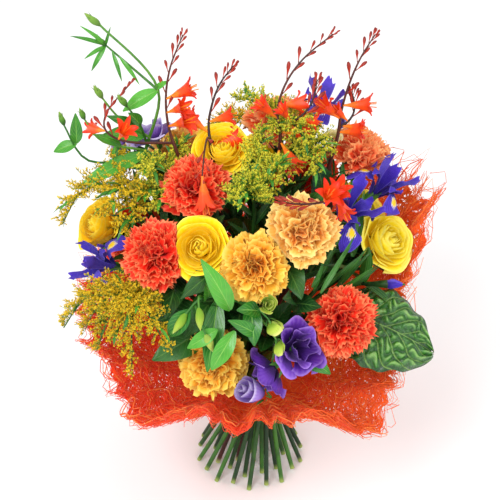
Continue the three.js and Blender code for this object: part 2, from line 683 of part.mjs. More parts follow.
// The iris bud stands on a short stalk among its strap leaves.
function addStrapLeaves() {
  const start = point(STRAP_LEAVES.root);
  const look = point(STRAP_LEAVES.budTip).sub(start).normalize();
  const along = (distance) => start.clone().addScaledVector(look, distance);
  const item = addItem('iris_leaves', 'green', start, look);
  for (const tip of STRAP_LEAVES.tips) {
    item.leaves.push(blade(leafRows(start, point(tip), STRAP_LEAVES.halfWidth), LEAF_THICKNESS));
  }
  item.tubes.push({ path: [along(-1), along(20), along(34), point(STRAP_LEAVES.budTip)],
    radii: [2.2, 2.2, 4.2, 0], sides: 5 });
}

addPuckeredLeaf();
addStrapLeaves();
givePlaces(items);
heads.forEach(trimToNeighbours);

// A stem runs on into its flower's neck or into its first branch.
for (const item of items) {
  const path = stemPath(item);
  const radii = path.map(() => (item.place.ring ? STEM_RADIUS : MIDDLE_STEM_RADIUS));
  const [neckOrBranch, ...rest] = item.tubes.length ? item.tubes
    : [{ path: item.heads[0].neck, radii: item.heads[0].neckRadii, sides: STEM_SIDES }];
  const sides = Math.max(neckOrBranch.sides, 4);
  const stem = { path: [...path, ...neckOrBranch.path.slice(1)], sides,
    radii: [...radii.map((r) => (sides === 4 ? r * SQUARE_SWELL : r)), ...neckOrBranch.radii.slice(1)] };
  const tubes = [stem, ...rest];
  const grown = (r) => (r ? r + CLEARANCE * 1.3 : 0);
  const swept = (widen) => join(tubes.map(({ path: line, radii: steps, sides: corners }, n) => sweep(line,
    steps.map(widen), corners, n === 0)));
  item.wood = swept((r) => r);
  item.woodKeepOut = swept(grown);
}

// ---- neighbours kept clear of each other ----
function near(a, b) {
  const p = a.boundingBox();
  const q = b.boundingBox();
  return [0, 1, 2].every((k) => p.min[k] < q.max[k] && q.min[k] < p.max[k]);
}

function clearOf(body, others) {
  const close = others.filter((other) => near(body, other));
  return close.length ? body.subtract(join(close)) : body;
}

function crosses(body, others) {
  return others.some((other) => near(body, other) && !body.intersect(other).isEmpty());
}

function largestPiece(body) {
  const pieces = body.decompose();
  return pieces.reduce((best, piece) => (piece.volume() > best.volume() ? piece : best));
}

for (const item of items) {
  const woods = items.filter((other) => other !== item).map((other) => other.woodKeepOut);
  item.body = join([item.wood, ...item.heads.map((head) => clearOf(head.body, woods))]);
}
// Small parts that would run into a neighbour are left off; a leaf is cut back to it.
for (const item of items) {
  const others = items.filter((other) => other !== item);
  const taken = others.flatMap((other) => [other.body, other.woodKeepOut]);
  const free = item.trims.filter((trim) => !crosses(trim, taken));
  const leaves = item.leaves.map((leaf) => clearOf(leaf, others.flatMap((other) => [other.woodKeepOut,
    ...other.heads.map((head) => keepOut(head.body)), ...(other.kept ?? [])])));
  item.kept = [...free, ...item.leaves].map(keepOut);
  item.body = largestPiece(join([item.body, ...free, ...leaves])).simplify(SMALLEST_STEP);
}
const bodies = items.map(({ name, colour, body }) => ({ name, colour, body }));

// ---- wrapper: one ruffled sheet, gathered at the tie, with its corners standing out ----
function collarEdge(azimuth) {
  const k = COLLAR.findIndex((row, n) => n > 0 && azimuth <= row[0]);
  const [a, b] = [COLLAR[k - 1], COLLAR[k]];
  const t = (azimuth - a[0]) / (b[0] - a[0]);
  const eased = t * t * (3 - 2 * t);
  return [a[1] + (b[1] - a[1]) * eased, a[2] + (b[2] - a[2]) * eased];
}

function wrapperBody() {
  const low = TIE_HEIGHT - 9;
  const high = TIE_HEIGHT + 7;
  const azimuths = Array.from({ length: COLLAR_POINTS }, (_, n) => (360 * n) / COLLAR_POINTS - 180);
  const rows = [low, high].map((height) => azimuths.map((azimuth) => polar(NECK_RADIUS, radians(azimuth),
    height)));
  for (const t of COLLAR_STATIONS) {
    rows.push(azimuths.map((azimuth, n) => {
      const [radius, height] = collarEdge(azimuth);
      const fold = (n % 2 ? 1 : -1) * 5 * t + 4 * t * Math.sin(n * 1.7);
      return polar(NECK_RADIUS + (radius - NECK_RADIUS) * t, radians(azimuth),
        high + (height - high) * t ** BOWL_POWER + fold);
    }));
  }
  return ringSheet(rows, SHEET_THICKNESS);
}

// A closed sheet that runs all the way round, its thickness laid to both sides of the middle.
function ringSheet(rows, thickness) {
  const points = rows.flat();
  let start = 0;
  const numbers = rows.map((row) => row.map(() => start++));
  const top = [];
  for (let r = 0; r < rows.length - 1; r += 1) {
    top.push(...stitch(numbers[r], numbers[r + 1], true));
  }
  const normals = vertexNormals(points, top);
  const upper = points.map((p, k) => p.clone().addScaledVector(normals[k], thickness / 2));
  const lower = points.map((p, k) => p.clone().addScaledVector(normals[k], -thickness / 2));
  const count = points.length;
  const faces = [...top, ...top.map(([a, b, c]) => [a + count, c + count, b + count])];
  [numbers[0], numbers[numbers.length - 1]].forEach((ring) => {
    faces.push(...stitch(ring, ring.map((k) => k + count), true));
  });
  return solid([...upper, ...lower], orient(faces));
}

const inTheWay = items.flatMap((item) => [item.woodKeepOut, ...(item.kept ?? []),
  ...item.heads.map((head) => keepOut(head.body))]);
const sheet = largestPiece(clearOf(wrapperBody(), inTheWay)).simplify(SMALLEST_STEP);
bodies.push({ name: 'wrapper', colour: 'sisal', body: sheet });

// ---- tie: turns of twine laid side by side round the neck of the wrapper ----
function tieBody() {
  const profile = [];
  const low = TIE_HEIGHT - TWINE_RADIUS * TWINE_TURNS;
  for (let turn = 0; turn < TWINE_TURNS; turn += 1) {
    const bottom = low + turn * 2 * TWINE_RADIUS;
    profile.push([TIE_INNER_RADIUS + TWINE_RADIUS, bottom], [TIE_INNER_RADIUS + 2 * TWINE_RADIUS,
      bottom + TWINE_RADIUS]);
  }
  profile.push([TIE_INNER_RADIUS + TWINE_RADIUS, low + TWINE_TURNS * 2 * TWINE_RADIUS]);
  profile.push([TIE_INNER_RADIUS, low + TWINE_TURNS * 2 * TWINE_RADIUS], [TIE_INNER_RADIUS, low]);
  const points = [];
  const rings = Array.from({ length: TIE_SIDES }, (_, s) => profile.map(([radius, height]) => points.push(
    polar(radius, (2 * Math.PI * s) / TIE_SIDES, height)) - 1));
  const faces = [];
  rings.forEach((ring, s) => faces.push(...stitch(ring, rings[(s + 1) % TIE_SIDES], true)));
  return solid(points, orient(faces));
}

bodies.push({ name: 'tie', colour: 'twine', body: tieBody() });

// ---- the bouquet ----
const bouquet = new THREE.Group();
for (const { name, colour, body } of bodies) {
  const mesh = body.getMesh();
  const geometry = new THREE.BufferGeometry();
  geometry.setAttribute('position', new THREE.BufferAttribute(new Float32Array(mesh.vertProperties), 3));
  geometry.setIndex(new THREE.BufferAttribute(new Uint32Array(mesh.triVerts), 1));
  geometry.computeVertexNormals();
  const [tint, roughness] = COLOURS[colour];
  const finish = new THREE.MeshStandardMaterial({ color: tint, roughness, metalness: 0 });
  const part = new THREE.Mesh(geometry, finish);
  part.name = name;
  bouquet.add(part);
}

export default bouquet;
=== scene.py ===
"""Mixed flower bouquet in a sisal wrapper, dressed for rendering.

Shapes are worked out in millimetres in the frame's axes and turned to metres where a mesh is made.
"""

import json
import math

import bpy
import numpy as np
from mathutils import Matrix, Vector

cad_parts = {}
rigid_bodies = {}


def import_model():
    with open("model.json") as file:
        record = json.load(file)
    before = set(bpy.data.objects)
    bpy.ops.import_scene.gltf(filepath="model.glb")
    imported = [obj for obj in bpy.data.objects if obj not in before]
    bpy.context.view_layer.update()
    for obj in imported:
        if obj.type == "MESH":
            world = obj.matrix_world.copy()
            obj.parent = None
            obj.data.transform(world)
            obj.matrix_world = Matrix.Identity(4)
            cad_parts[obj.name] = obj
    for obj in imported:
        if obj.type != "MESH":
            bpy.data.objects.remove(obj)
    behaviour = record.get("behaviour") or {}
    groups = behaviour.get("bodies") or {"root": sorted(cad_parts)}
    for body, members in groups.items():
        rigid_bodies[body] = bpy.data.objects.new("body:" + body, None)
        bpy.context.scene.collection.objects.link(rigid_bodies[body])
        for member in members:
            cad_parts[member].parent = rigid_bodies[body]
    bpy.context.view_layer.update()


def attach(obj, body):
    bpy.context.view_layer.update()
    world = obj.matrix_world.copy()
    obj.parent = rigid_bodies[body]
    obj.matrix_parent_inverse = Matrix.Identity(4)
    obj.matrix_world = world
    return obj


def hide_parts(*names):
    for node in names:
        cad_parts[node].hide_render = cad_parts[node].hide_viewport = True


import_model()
scene = bpy.context.scene

MM = 0.001
ROOT = "root"
rng = np.random.default_rng(11)

# ---------------------------------------------------------------- sizes, as in the solids
TIE_HEIGHT = 120
RING_STEMS = [1, 7, 13, 19]
RING_RADIUS = [0, 6.2, 11.7, 17.4]
RING_FOOT_RADIUS = [0, 21, 40, 58]
STEM_RADIUS = 2.5
MIDDLE_STEM_RADIUS = 3.0
STRAIGHT_ABOVE_TIE = 25
CUT_STEPS = [0, 3, 0, 5]
STEM_TURN = 78
NECK_RADIUS = 21.8
BOWL_POWER = 1.5
TIE_INNER_RADIUS = 23.3
TWINE_RADIUS = 2
TWINE_TURNS = 3
TWINE_PLIES = 3
# a stem keeps this share of a head's size, and this much more, away from the middle of the head
HEAD_SHARE = 0.82
HEAD_GAP = 3
BEND_PASSES = 4
# heads nearer than this share of their two sizes press on each other, and what reaches past the plane
# between them is taken back by the second share
NEAR_SHARE = 1.08
PRESSED_SHARE = 0.86
# how far a stem's top leans out for each mm from the middle, and the share of the first spray from the
# start of one spray to the next
LEAN = {"lisianthus": 0.005, "crocosmia": 0.003, "goldenrod": 0.005, "leaf": 0.008}
SPRAY_STEP = {"crocosmia": 0.12, "goldenrod": 0.08}

# ---------------------------------------------------------------- sizes of the detail
# turns from one petal, leaf, stamen or ray to the next, in radians; the first three are close to the
# golden angle
PETAL_TURN = 2.39996
WRAP_TURN = 2.399
LEAF_TURN = 2.4
STAMEN_TURN = 2.1
RAY_TURN = 0.9
HALF_TURN = 3.1416
THIRD_TURN = 2.0944
SIXTH_TURN = 1.0472
# how many there are; VARIANTS is how many shapes of each petal and floret
VARIANTS = 4
CARNATION_PETALS = 92
GOLDENROD_RAYS = 7
PUCKERED_ROWS = 91
WEB_ROWS = 34
WEB_COLUMNS = 289
LUMP_WAVES = 14
FIBRE_LOTS = 3
STRANDS = 2000
STRAND_POINTS = 11
LOOPS = 60
LOOP_POINTS = 18
TWINE_TWISTS = 14
TWINE_STEPS = 145
# goldenrod: from twig to twig and from floret to floret, the fewest of each, and leaflets to a plume
TWIG_SPACING, FEWEST_TWIGS = 1.8, 20
FLORET_SPACING, FEWEST_FLORETS = 1.15, 5
LEAFLETS = 11
# swollen joints of a carnation's stem: how many, how much thicker, how long
JOINTS, JOINT_SWELL, JOINT_LENGTH = 6, 0.32, 0.07
# how far the sheet reaches below the tie's middle and where its bowl starts above it, the size of its flat
# lay in UV, and the step between a loop's points
SKIRT_DROP = 9.0
NECK_RISE = 7
LAY_SIZE = (1.1, 0.19)
LOOP_STEP = 6.5
# each ply of the twine: how far from the middle of the twine, and its radius
PLY_OFFSET = 0.9
PLY_RADIUS = 1.05
# size of the short pale buds of the green lisianthus, and the size below which a bud is a slim closed one
YOUNG_BUD = 8
SLIM_BUD = 10
# length of an open crocosmia floret on the first spike of a stem and on the second
SPIKE_FLORETS = (28, 24)
# from the tie to the sheet's edge along its slope, and the box that the fibres keep inside
SLANT = 175
FIBRE_BOX = (-196, -162, 30), (197, 190, 520)

# kind, colour, middle of the head, facing (azimuth, elevation), radius
BLOOMS = {
    "carnation_a": ("carnation", "red", (-90, -78, 342), (-132, 42), 33),
    "carnation_b": ("carnation", "red", (88, -104, 280), (-62, 26), 35),
    "carnation_c": ("carnation", "red", (-50, -30, 386), (-105, 72), 33),
    "carnation_d": ("carnation", "coral", (110, 63, 359), (-5, 58), 34),
    "carnation_e": ("carnation", "coral", (28, 86, 384), (90, 76), 35),
    "carnation_f": ("carnation", "peach", (50, -72, 366), (-60, 56), 35),
    "carnation_g": ("carnation", "golden", (4, -104, 346), (-92, 42), 33),
    "carnation_h": ("carnation", "golden", (-36, -116, 238), (-100, 16), 35),
    "carnation_i": ("carnation", "peach", (-72, 84, 346), (130, 46), 37),
    "carnation_j": ("carnation", "red", (60, 122, 300), (62, 26), 37),
    "carnation_k": ("carnation", "peach", (-22, 128, 286), (98, 16), 37),
    "carnation_l": ("carnation", "red", (-120, 60, 262), (152, 8), 37),
    "rose_a": ("rose", "yellow", (-46, -84, 353), (-100, 44), 29),
    "rose_b": ("rose", "pale", (136, -5, 300), (-42, 40), 32),
    "rose_c": ("rose", "yellow", (-27, 4, 403), (-95, 62), 28),
    "rose_d": ("rose", "ochre", (-150, 2, 313), (-152, 40), 29),
    "rose_e": ("rose", "yellow", (8, 102, 338), (90, 44), 32),
    "rose_f": ("rose", "pale", (120, 74, 284), (34, 22), 31),
    "iris_a": ("iris", "blue", (94, -28, 352), (-30, 58), 36),
    "iris_b": ("iris", "blue", (130, 34, 338), (14, 46), 36),
    "iris_c": ("iris", "blue", (70, 86, 396), (50, 60), 34),
    "iris_d": ("iris", "blue", (-142, -30, 290), (-166, 24), 34),
    "iris_e": ("iris", "blue", (-70, 118, 290), (122, 20), 34),
}

# top of the stem, then spikes: tip, bow of the middle, buds, open florets, where the first of these stands,
# and the side on which every second one stands
CROCOSMIA = {
    "crocosmia_a": ((-68, 2, 396), [((-62, 30, 513), (-14, 0, 0), 13, 3, 0.26, -1),
                                    ((-112, 22, 466), (-42, -22, -6), 13, 2, 0.34, 1)]),
    "crocosmia_b": ((-36, 0, 401), [((-16, 40, 474), (-10, 0, 6), 13, 3, 0.08, 1),
                                    ((-44, -52, 412), (0, 0, 18), 5, 0, 0, 1)]),
    "crocosmia_c": ((29, 16, 405), [((78, 58, 498), (-20, 0, 4), 13, 3, 0.08, 1),
                                    ((64, 44, 456), (8, -6, -4), 13, 3, 0.08, 1)]),
    "crocosmia_d": ((84, 34, 392), [((118, 60, 496), (-6, 0, 6), 13, 3, 0.08, 1),
                                    ((98, 48, 440), (8, 0, -4), 13, 2, 0.08, 1)]),
    "crocosmia_e": ((80, -44, 384), [((28, -76, 400), (4, -24, 12), 16, 3, 0.08, -1)]),
}

# top of the stem, then plumes (tip, bow of the middle)
GOLDENROD = {
    "goldenrod_a": ((-104, -4, 344), [((-184, -6, 322), (-6, 0, 34)), ((-138, -40, 356), (0, 0, 22)),
                                      ((-128, 30, 380), (-8, 0, 10))]),
    "goldenrod_b": ((-80, 10, 368), [((-92, -30, 398), (-6, 0, 12)), ((-64, 20, 398), (0, 4, 6))]),
    "goldenrod_c": ((4, -40, 372), [((-14, -72, 396), (0, 0, 14)), ((30, -24, 408), (4, 0, 8)),
                                    ((14, 24, 412), (0, 0, 8))]),
    "goldenrod_d": ((44, 40, 388), [((-14, 54, 428), (0, 0, 16)), ((56, 34, 406), (6, 0, 4)),
                                    ((52, 0, 412), (0, 0, 12))]),
    "goldenrod_e": ((-92, -84, 282), [((-184, -62, 236), (-4, -10, 40)), ((-148, -96, 238), (0, -10, 34)),
                                      ((-112, -130, 238), (0, -8, 30)), ((-78, -132, 272), (0, -6, 18))]),
    "goldenrod_f": ((20, 84, 330), [((70, 160, 330), (0, 6, 26)), ((-40, 160, 322), (0, 6, 26))]),
}

# colour, top of the stem, branches (start along the first one, tip, bow, what it carries, size),
# leaves (branch, start along it, tip, width)
LISIANTHUS = {
    "lisianthus_a": (
        "purple", (24, -86, 262),
        [(0, (46, -132, 272), (0, -4, -8), "bloom", 25), (0.2, (16, -130, 236), (0, -6, -4), "bloom", 22),
         (0.1, (4, -142, 224), (0, -10, -20), "bud", 19)],
        [(0, 0.3, (76, -138, 244), 22)]),
    "lisianthus_b": (
        "green", (-12, -94, 298),
        [(0, (-64, -132, 304), (-4, -6, 22), "bud", YOUNG_BUD),
         (0.35, (-46, -142, 318), (-2, -4, 16), "bud", YOUNG_BUD),
         (0.5, (-38, -144, 290), (-2, -8, 12), "bud", YOUNG_BUD),
         (0.1, (22, -138, 304), (2, -6, 14), "cup", 10), (0, (28, -140, 280), (4, -6, 8), "cup", 10)],
        [(0, 0.3, (-40, -134, 352), 18), (0, 0.2, (-40, -148, 256), 20), (3, 0.3, (4, -150, 290), 18),
         (0, 0.6, (-76, -128, 282), 18), (3, 0.5, (-12, -146, 330), 16)]),
    "lisianthus_c": (
        "green", (-103, 26, 372),
        [(0, (-142, 20, 534), (36, 0, 6), "bud", 7), (0.33, (-138, 34, 504), (0, 6, -4), "bud", 6),
         (0.02, (-176, 0, 440), (-16, -6, -20), "bud", 6), (0.06, (-156, -4, 448), (-12, 0, -10), "bud", 6),
         (0.12, (-140, 2, 468), (-4, 0, -4), "bud", 7), (0.08, (-118, 0, 460), (4, 0, 0), "bud", 7)],
        [(2, 0.5, (-164, 8, 442), 12), (2, 0.5, (-187, 2, 402), 12), (0, 0.05, (-166, -6, 366), 16),
         (0, 0.33, (-120, 14, 440), 14), (5, 0.3, (-114, 2, 446), 13)]),
    "lisianthus_d": (
        "lilac", (-80, 36, 352),
        [(0, (-96, 48, 394), (0, 0, 0), "bloom", 21), (0.2, (-130, 46, 376), (-6, 0, 0), "bloom", 15)],
        [(0, 0.1, (-140, 60, 352), 20)]),
}

# further plumes of the same stems: tip, bow of the middle
MORE_PLUMES = {
    "goldenrod_a": [((-100, -30, 374), (0, 0, 10)), ((-118, -50, 342), (0, 0, 12))],
    "goldenrod_b": [((-86, -44, 368), (0, 0, 8))],
    "goldenrod_c": [((36, -6, 394), (0, 0, 8)), ((-2, -50, 404), (0, 0, 8))],
    "goldenrod_d": [((20, 20, 416), (0, 0, 10)), ((72, 8, 396), (4, 0, 6)), ((62, -16, 388), (4, 0, 6))],
    "goldenrod_e": [((-130, -112, 262), (0, -6, 26)), ((-160, -80, 250), (-4, -10, 36))],
}
# further leaves: root, as a place or as a branch and how far along it, tip, width
MORE_LEAVES = {
    "lisianthus_b": [((-18, -132, 318), (-44, -130, 376), 19), ((-14, -140, 300), (-36, -152, 262), 17),
                     ((-30, -138, 300), (-58, -144, 282), 14), ((6, -140, 296), (-20, -146, 318), 13)],
    "lisianthus_c": [((4, 0.05), (-140, 4, 420), 17), ((4, 0.15), (-134, 0, 444), 12),
                     ((3, 0.2), (-148, -4, 426), 9), ((1, 0.93), (-166, 30, 512), 4),
                     ((1, 0.93), (-156, 28, 524), 4),
                     ((1, 0.9), (-148, 24, 478), 5), ((1, 0.88), (-154, 26, 490), 4),
                     ((1, 0.6), (-120, 22, 468), 4), ((1, 0.95), (-128, 30, 522), 3),
                     ((1, 0.02), (-76, 20, 470), 6), ((1, 0.5), (-104, 26, 462), 4)],
}
# further open florets: where each starts, which way it points, its length
MORE_FLORETS = {
    "crocosmia_b": [((-44, -52, 412), (0.1, -0.55, -0.8), 33)],
    "crocosmia_e": [((80, -46, 388), (0.35, -0.8, -0.4), 28)],
    "crocosmia_c": [((30, 14, 404), (0.45, -0.75, -0.4), 34), ((28, 10, 398), (-0.25, -0.85, -0.35), 36)],
}

# leaves that are tucked in between the heads: root, tip, width
TUCKED_LEAVES = [((-44, -96, 262), (-92, -132, 256), 30), ((-50, -90, 286), (-96, -120, 290), 28),
                 ((40, -92, 292), (66, -128, 318), 20), ((36, -96, 300), (30, -138, 336), 18),
                 ((-20, -70, 330), (-64, -120, 322), 24), ((30, -70, 330), (48, -118, 320), 26),
                 ((60, -10, 340), (86, -24, 380), 22), ((70, 10, 350), (62, -8, 400), 22),
                 ((40, -30, 350), (74, -42, 388), 20), ((-70, -60, 300), (-78, -122, 300), 26),
                 ((-30, -80, 300), (-60, -128, 282), 28), ((-90, -40, 330), (-118, -66, 338), 18)]
TUCKED_STRAPS = [((66, -98, 310), (100, -58, 350), 5), ((80, -72, 292), (116, -62, 334), 5),
                 ((58, -92, 312), (88, -58, 352), 5), ((62, -80, 302), (80, -78, 350), 4),
                 ((94, -66, 288), (124, -60, 312), 5), ((70, -76, 298), (106, -76, 340), 5),
                 ((68, -78, 302), (96, -72, 348), 4), ((86, -70, 290), (122, -74, 326), 4),
                 ((60, -90, 306), (72, -78, 346), 4), ((84, -70, 296), (112, -64, 340), 5),
                 ((100, -30, 300), (112, 12, 350), 9), ((96, -24, 306), (102, 16, 350), 9),
                 ((92, 0, 320), (104, 40, 352), 9), ((88, 4, 330), (92, 44, 366), 8)]

PUCKERED_LEAF = {"root": (88, -66, 262), "tip": (176, -92, 232), "half_width": 43}
# flower it grows on, finish, foot of the stalk, middle, facing, size
SMALL_CUPS = {"cream_cup": ("carnation_d", "cream", (84, 44, 344), (82, 52, 385), (0.1, -0.75, 0.65), 10),
              "green_cup": ("lisianthus_b", "green", (2, -112, 304), (16, -138, 330), (0.25, -0.8, 0.55), 9)}
STRAP_LEAVES = {"root": (110, -42, 276), "tips": [(66, -94, 340), (112, -66, 340), (150, -66, 250)],
                "half_width": 6, "bud_tip": (150, -58, 288)}

# azimuth, radius of the edge, height of the edge
COLLAR = np.array([(-180, 168, 216), (-160, 170, 216), (-143, 163, 204), (-129, 181, 184), (-110, 152, 194),
                   (-88, 146, 188), (-68, 151, 190), (-48, 184, 175), (-28, 162, 194), (-10, 154, 256),
                   (12, 184, 314), (38, 188, 298), (62, 178, 250), (90, 178, 232), (122, 188, 196),
                   (152, 172, 228), (180, 168, 216)], dtype=float)

# petals wound round each other: how many, then as shares of the head's size the radius of the foot and of
# the rim, from the first petal to the last, the height of the heart, how much lower the last one ends, the
# widths in degrees, how far the lips curl and wave, the mesh's columns and rows, and the share of petals
# whose lips stay shut
WINDINGS = {
    "rose": (32, (0.03, 0.22), (0.1, 0.96), 0.5, 0.4, (80, 50), 0.3, 0.03, 13, 11, 0.5),
    "bloom": (11, (0.06, 0.2), (0.3, 1.05), 0.5, 0.42, (64, 46), 0.22, 0.1, 13, 9),
    "cup": (9, (0.1, 0.42), (0.2, 1.0), 0.75, 0.25, (90, 60), -0.3, 0.03, 9, 9),
    "bud": (8, (0.08, 0.3), (0.12, 0.72), 1.15, 0.45, (100, 70), 0.03, 0.03, 11, 9),
    "small cup": (9, (0.1, 0.36), (0.2, 1.0), 0.6, 0.3, (80, 50), 0.05, 0.04, 11, 9),
}

# green part below a head: [height, radius] steps as shares of its size
NECKS = {
    "carnation": [(-0.95, 0.07), (-0.8, 0.16), (-0.42, 0.19), (-0.22, 0.1)],
    "rose": [(-0.82, 0.09), (-0.68, 0.22), (-0.42, 0.24), (-0.3, 0.1)],
    "iris": [(-1.1, 0.07), (-0.8, 0.13), (-0.4, 0.1), (-0.2, 0.06)],
    "bloom": [(-0.75, 0.07), (-0.5, 0.2), (-0.35, 0.1)],
    "bud": [(-1.3, 0.16), (-0.9, 0.3)],
    "cup": [(-1.1, 0.2), (-0.6, 0.3)],
}

# sepals: how many, then as shares of the head's size the height and radius of their foot, their length
# and half width, and how far they reach outwards and upwards
SEPALS = {
    "carnation": (5, (-0.5, 0.17), 0.34, 0.09, 0.25, 1.0),
    "rose": (5, (-0.5, 0.2), 0.75, 0.13, 0.9, -0.1),
    "iris": (2, (-0.95, 0.08), 0.9, 0.12, 0.15, 1.0),
    "bloom": (5, (-0.85, 0.2), 0.8, 0.1, 0.5, 0.5),
    "young bud": (5, (-1.25, 0.14), 1.7, 0.12, 0.16, 1.0),
    "slim bud": (5, (-1.25, 0.14), 2.6, 0.12, 0.16, 1.0),
}
# leaves on the upper part of each kind's stem
STEM_LEAVES = {"carnation": 8, "rose": 10, "iris": 4, "goldenrod": 8, "lisianthus": 8, "crocosmia": 3}
# goldenrods with greener florets
LIME_GOLDENROD = ("goldenrod_b", "goldenrod_c", "goldenrod_d")

# name, place, size across and power, in metres and watts
LIGHTS = [("key", (-0.7, -1.2, 1.7), 1.0, 24), ("fill", (1.3, -0.9, 1.2), 1.4, 9),
          ("rim", (0.3, 1.4, 1.6), 1.2, 8)]
LIGHT_TARGET = (0, 0, 0.3)
WORLD_STRENGTH = 0.85
# half the floor's width, its points each way, and how far it lies below the cut ends, in millimetres
FLOOR_REACH = 3000
FLOOR_POINTS = 13
FLOOR_DROP = 0.2
CAMERA_TARGET = (0, 0, 0.285)
CAMERA_ELEVATION = 38
CAMERA_DISTANCE = 1.5
CAMERA_LENS = 108
CAMERA_SENSOR = 36


# ---------------------------------------------------------------- node trees
class Value:
    """A number from a shader's node, ready for Python expressions."""

    def __init__(self, nodes, socket):
        self.nodes = nodes
        self.socket = socket

    def math(self, operation, other=0.0, swapped=False):
        pair = (other, self) if swapped else (self, other)
        node = self.nodes.add("ShaderNodeMath", {"operation": operation}, {0: pair[0], 1: pair[1]})
        return Value(self.nodes, node.outputs[0])

    def __add__(self, other):
        return self.math("ADD", other)

    def __sub__(self, other):
        return self.math("SUBTRACT", other)

    def __rsub__(self, other):
        return self.math("SUBTRACT", other, swapped=True)

    def __mul__(self, other):
        return self.math("MULTIPLY", other)

    def __abs__(self):
        return self.math("ABSOLUTE")

    __radd__ = __add__
    __rmul__ = __mul__

    def sine(self):
        return self.math("SINE")

    def step(self, low, high):
        """0 below low and 1 above high, eased between them."""
        node = self.nodes.add("ShaderNodeMapRange", {"interpolation_type": "SMOOTHSTEP"},
                              {0: self, 1: low, 2: high, 3: 0.0, 4: 1.0})
        return Value(self.nodes, node.outputs[0])


class Nodes:
    """Adds nodes to a tree: the settings first, then the values and links of the sockets."""

    def __init__(self, tree):
        self.tree = tree

    def add(self, kind, settings=None, sockets=None):
        node = self.tree.nodes.new(kind)
        for key, value in (settings or {}).items():
            setattr(node, key, value)
        for key, value in (sockets or {}).items():
            if isinstance(value, Value):
                value = value.socket
            if isinstance(value, bpy.types.NodeSocket):
                self.tree.links.new(value, node.inputs[key])
            else:
                node.inputs[key].default_value = value
        return node


def srgb(red, green, blue):
    """Linear colour of a screen colour given from 0 to 255."""
    parts = [c / 255 for c in (red, green, blue)]
    return (*(p / 12.92 if p <= 0.04045 else ((p + 0.055) / 1.055) ** 2.4 for p in parts), 1.0)


class Finish(Nodes):
    """A material with the few nodes that this bouquet's finishes are made of."""

    def __init__(self, name):
        self.material = bpy.data.materials.new(name)
        self.material.use_nodes = True
        super().__init__(self.material.node_tree)
        self.tree.nodes.clear()
        self.place = self.add("ShaderNodeTexCoord").outputs["Object"]

    def number(self, name):
        """A value that the piece's mesh keeps for each point."""
        node = self.add("ShaderNodeAttribute", {"attribute_name": name})
        return Value(self, node.outputs["Fac"])

    def numbers(self, *names):
        return [self.number(name) for name in names]

    def noise(self, scale, detail=2.0, distortion=0.0, place=None):
        node = self.add("ShaderNodeTexNoise", {}, {"Vector": place or self.place, "Scale": scale,
                                                   "Detail": detail, "Distortion": distortion})
        return Value(self, node.outputs[0])

    def cells(self, scale, place=None):
        """How far a point is from the nearest line between two cells."""
        node = self.add("ShaderNodeTexVoronoi", {"feature": "DISTANCE_TO_EDGE"},
                        {"Vector": place or self.place, "Scale": scale})
        return Value(self, node.outputs["Distance"])

    def mix(self, first, second, share):
        return self.add("ShaderNodeMix", {"data_type": "RGBA"}, {0: share, 6: first, 7: second}).outputs[2]

    def bump(self, height, distance, strength=1.0):
        node = self.add("ShaderNodeBump", {}, {"Height": height, "Distance": distance, "Strength": strength})
        return node.outputs[0]

    def done(self, colour, roughness, normal=None, alpha=None, painted_glow=0.0, **constants):
        """The finished material; constants are the shader's other sockets, with _ for each space."""
        sockets = {"Base Color": colour, "Roughness": roughness}
        sockets.update({key.replace("_", " "): value for key, value in constants.items()})
        if normal is not None:
            sockets["Normal"] = normal
        if alpha is not None:
            sockets["Alpha"] = alpha
        # painted light: a faint glow in the surface's own colour, though it is no lamp, lifts its shade
        if painted_glow:
            sockets["Emission Color"] = colour
            sockets["Emission Strength"] = painted_glow
        shader = self.add("ShaderNodeBsdfPrincipled", {}, sockets)
        self.add("ShaderNodeOutputMaterial", {}, {"Surface": shader.outputs[0]})
        return self.material


# ---------------------------------------------------------------- finishes
def petal_finish(name, claw_and_shade, body, edge, heart, edge_from, painted_glow, streaks):
    """Petal colour from the claw to the rim, warmer in the heart, each petal a little lighter or darker."""
    f = Finish(name)
    along, across, shade = f.numbers("along", "across", "shade")
    cloud = f.noise(90.0, 3.0)
    # the darker claw is partly the petal's own colour and partly painted shade deep inside the flower
    colour = f.mix(srgb(*claw_and_shade), srgb(*body), (along + cloud * 0.3 - 0.15).step(0.1, 0.62))
    colour = f.mix(colour, srgb(*heart), f.number("heart") * (cloud * 0.5 + 0.6))
    rim = (along + cloud * 0.16 - 0.08).step(edge_from, 1.0)
    lines = (across * 26.0 + cloud * 5.0).sine() * 0.5 + 0.5
    colour = f.mix(colour, srgb(*edge), lines * along.step(0.45, 1.0) * streaks)
    colour = f.mix(colour, srgb(*edge), rim * 0.9)
    colour = f.mix(colour, srgb(*edge), shade.step(0.5, 1.0) * 0.2)
    colour = f.mix(colour, srgb(*claw_and_shade), (1 - shade).step(0.5, 1.0) * 0.3)
    lines = lines + f.noise(420.0, 2.0) * 0.7
    # a faint painted glow lifts the petals' shade
    return f.done(colour, 0.7 - along * 0.15, f.bump(lines, 0.00025, 0.6), painted_glow=painted_glow, Sheen_Weight=0.06,
                  Sheen_Roughness=0.4, Specular_IOR_Level=0.25)


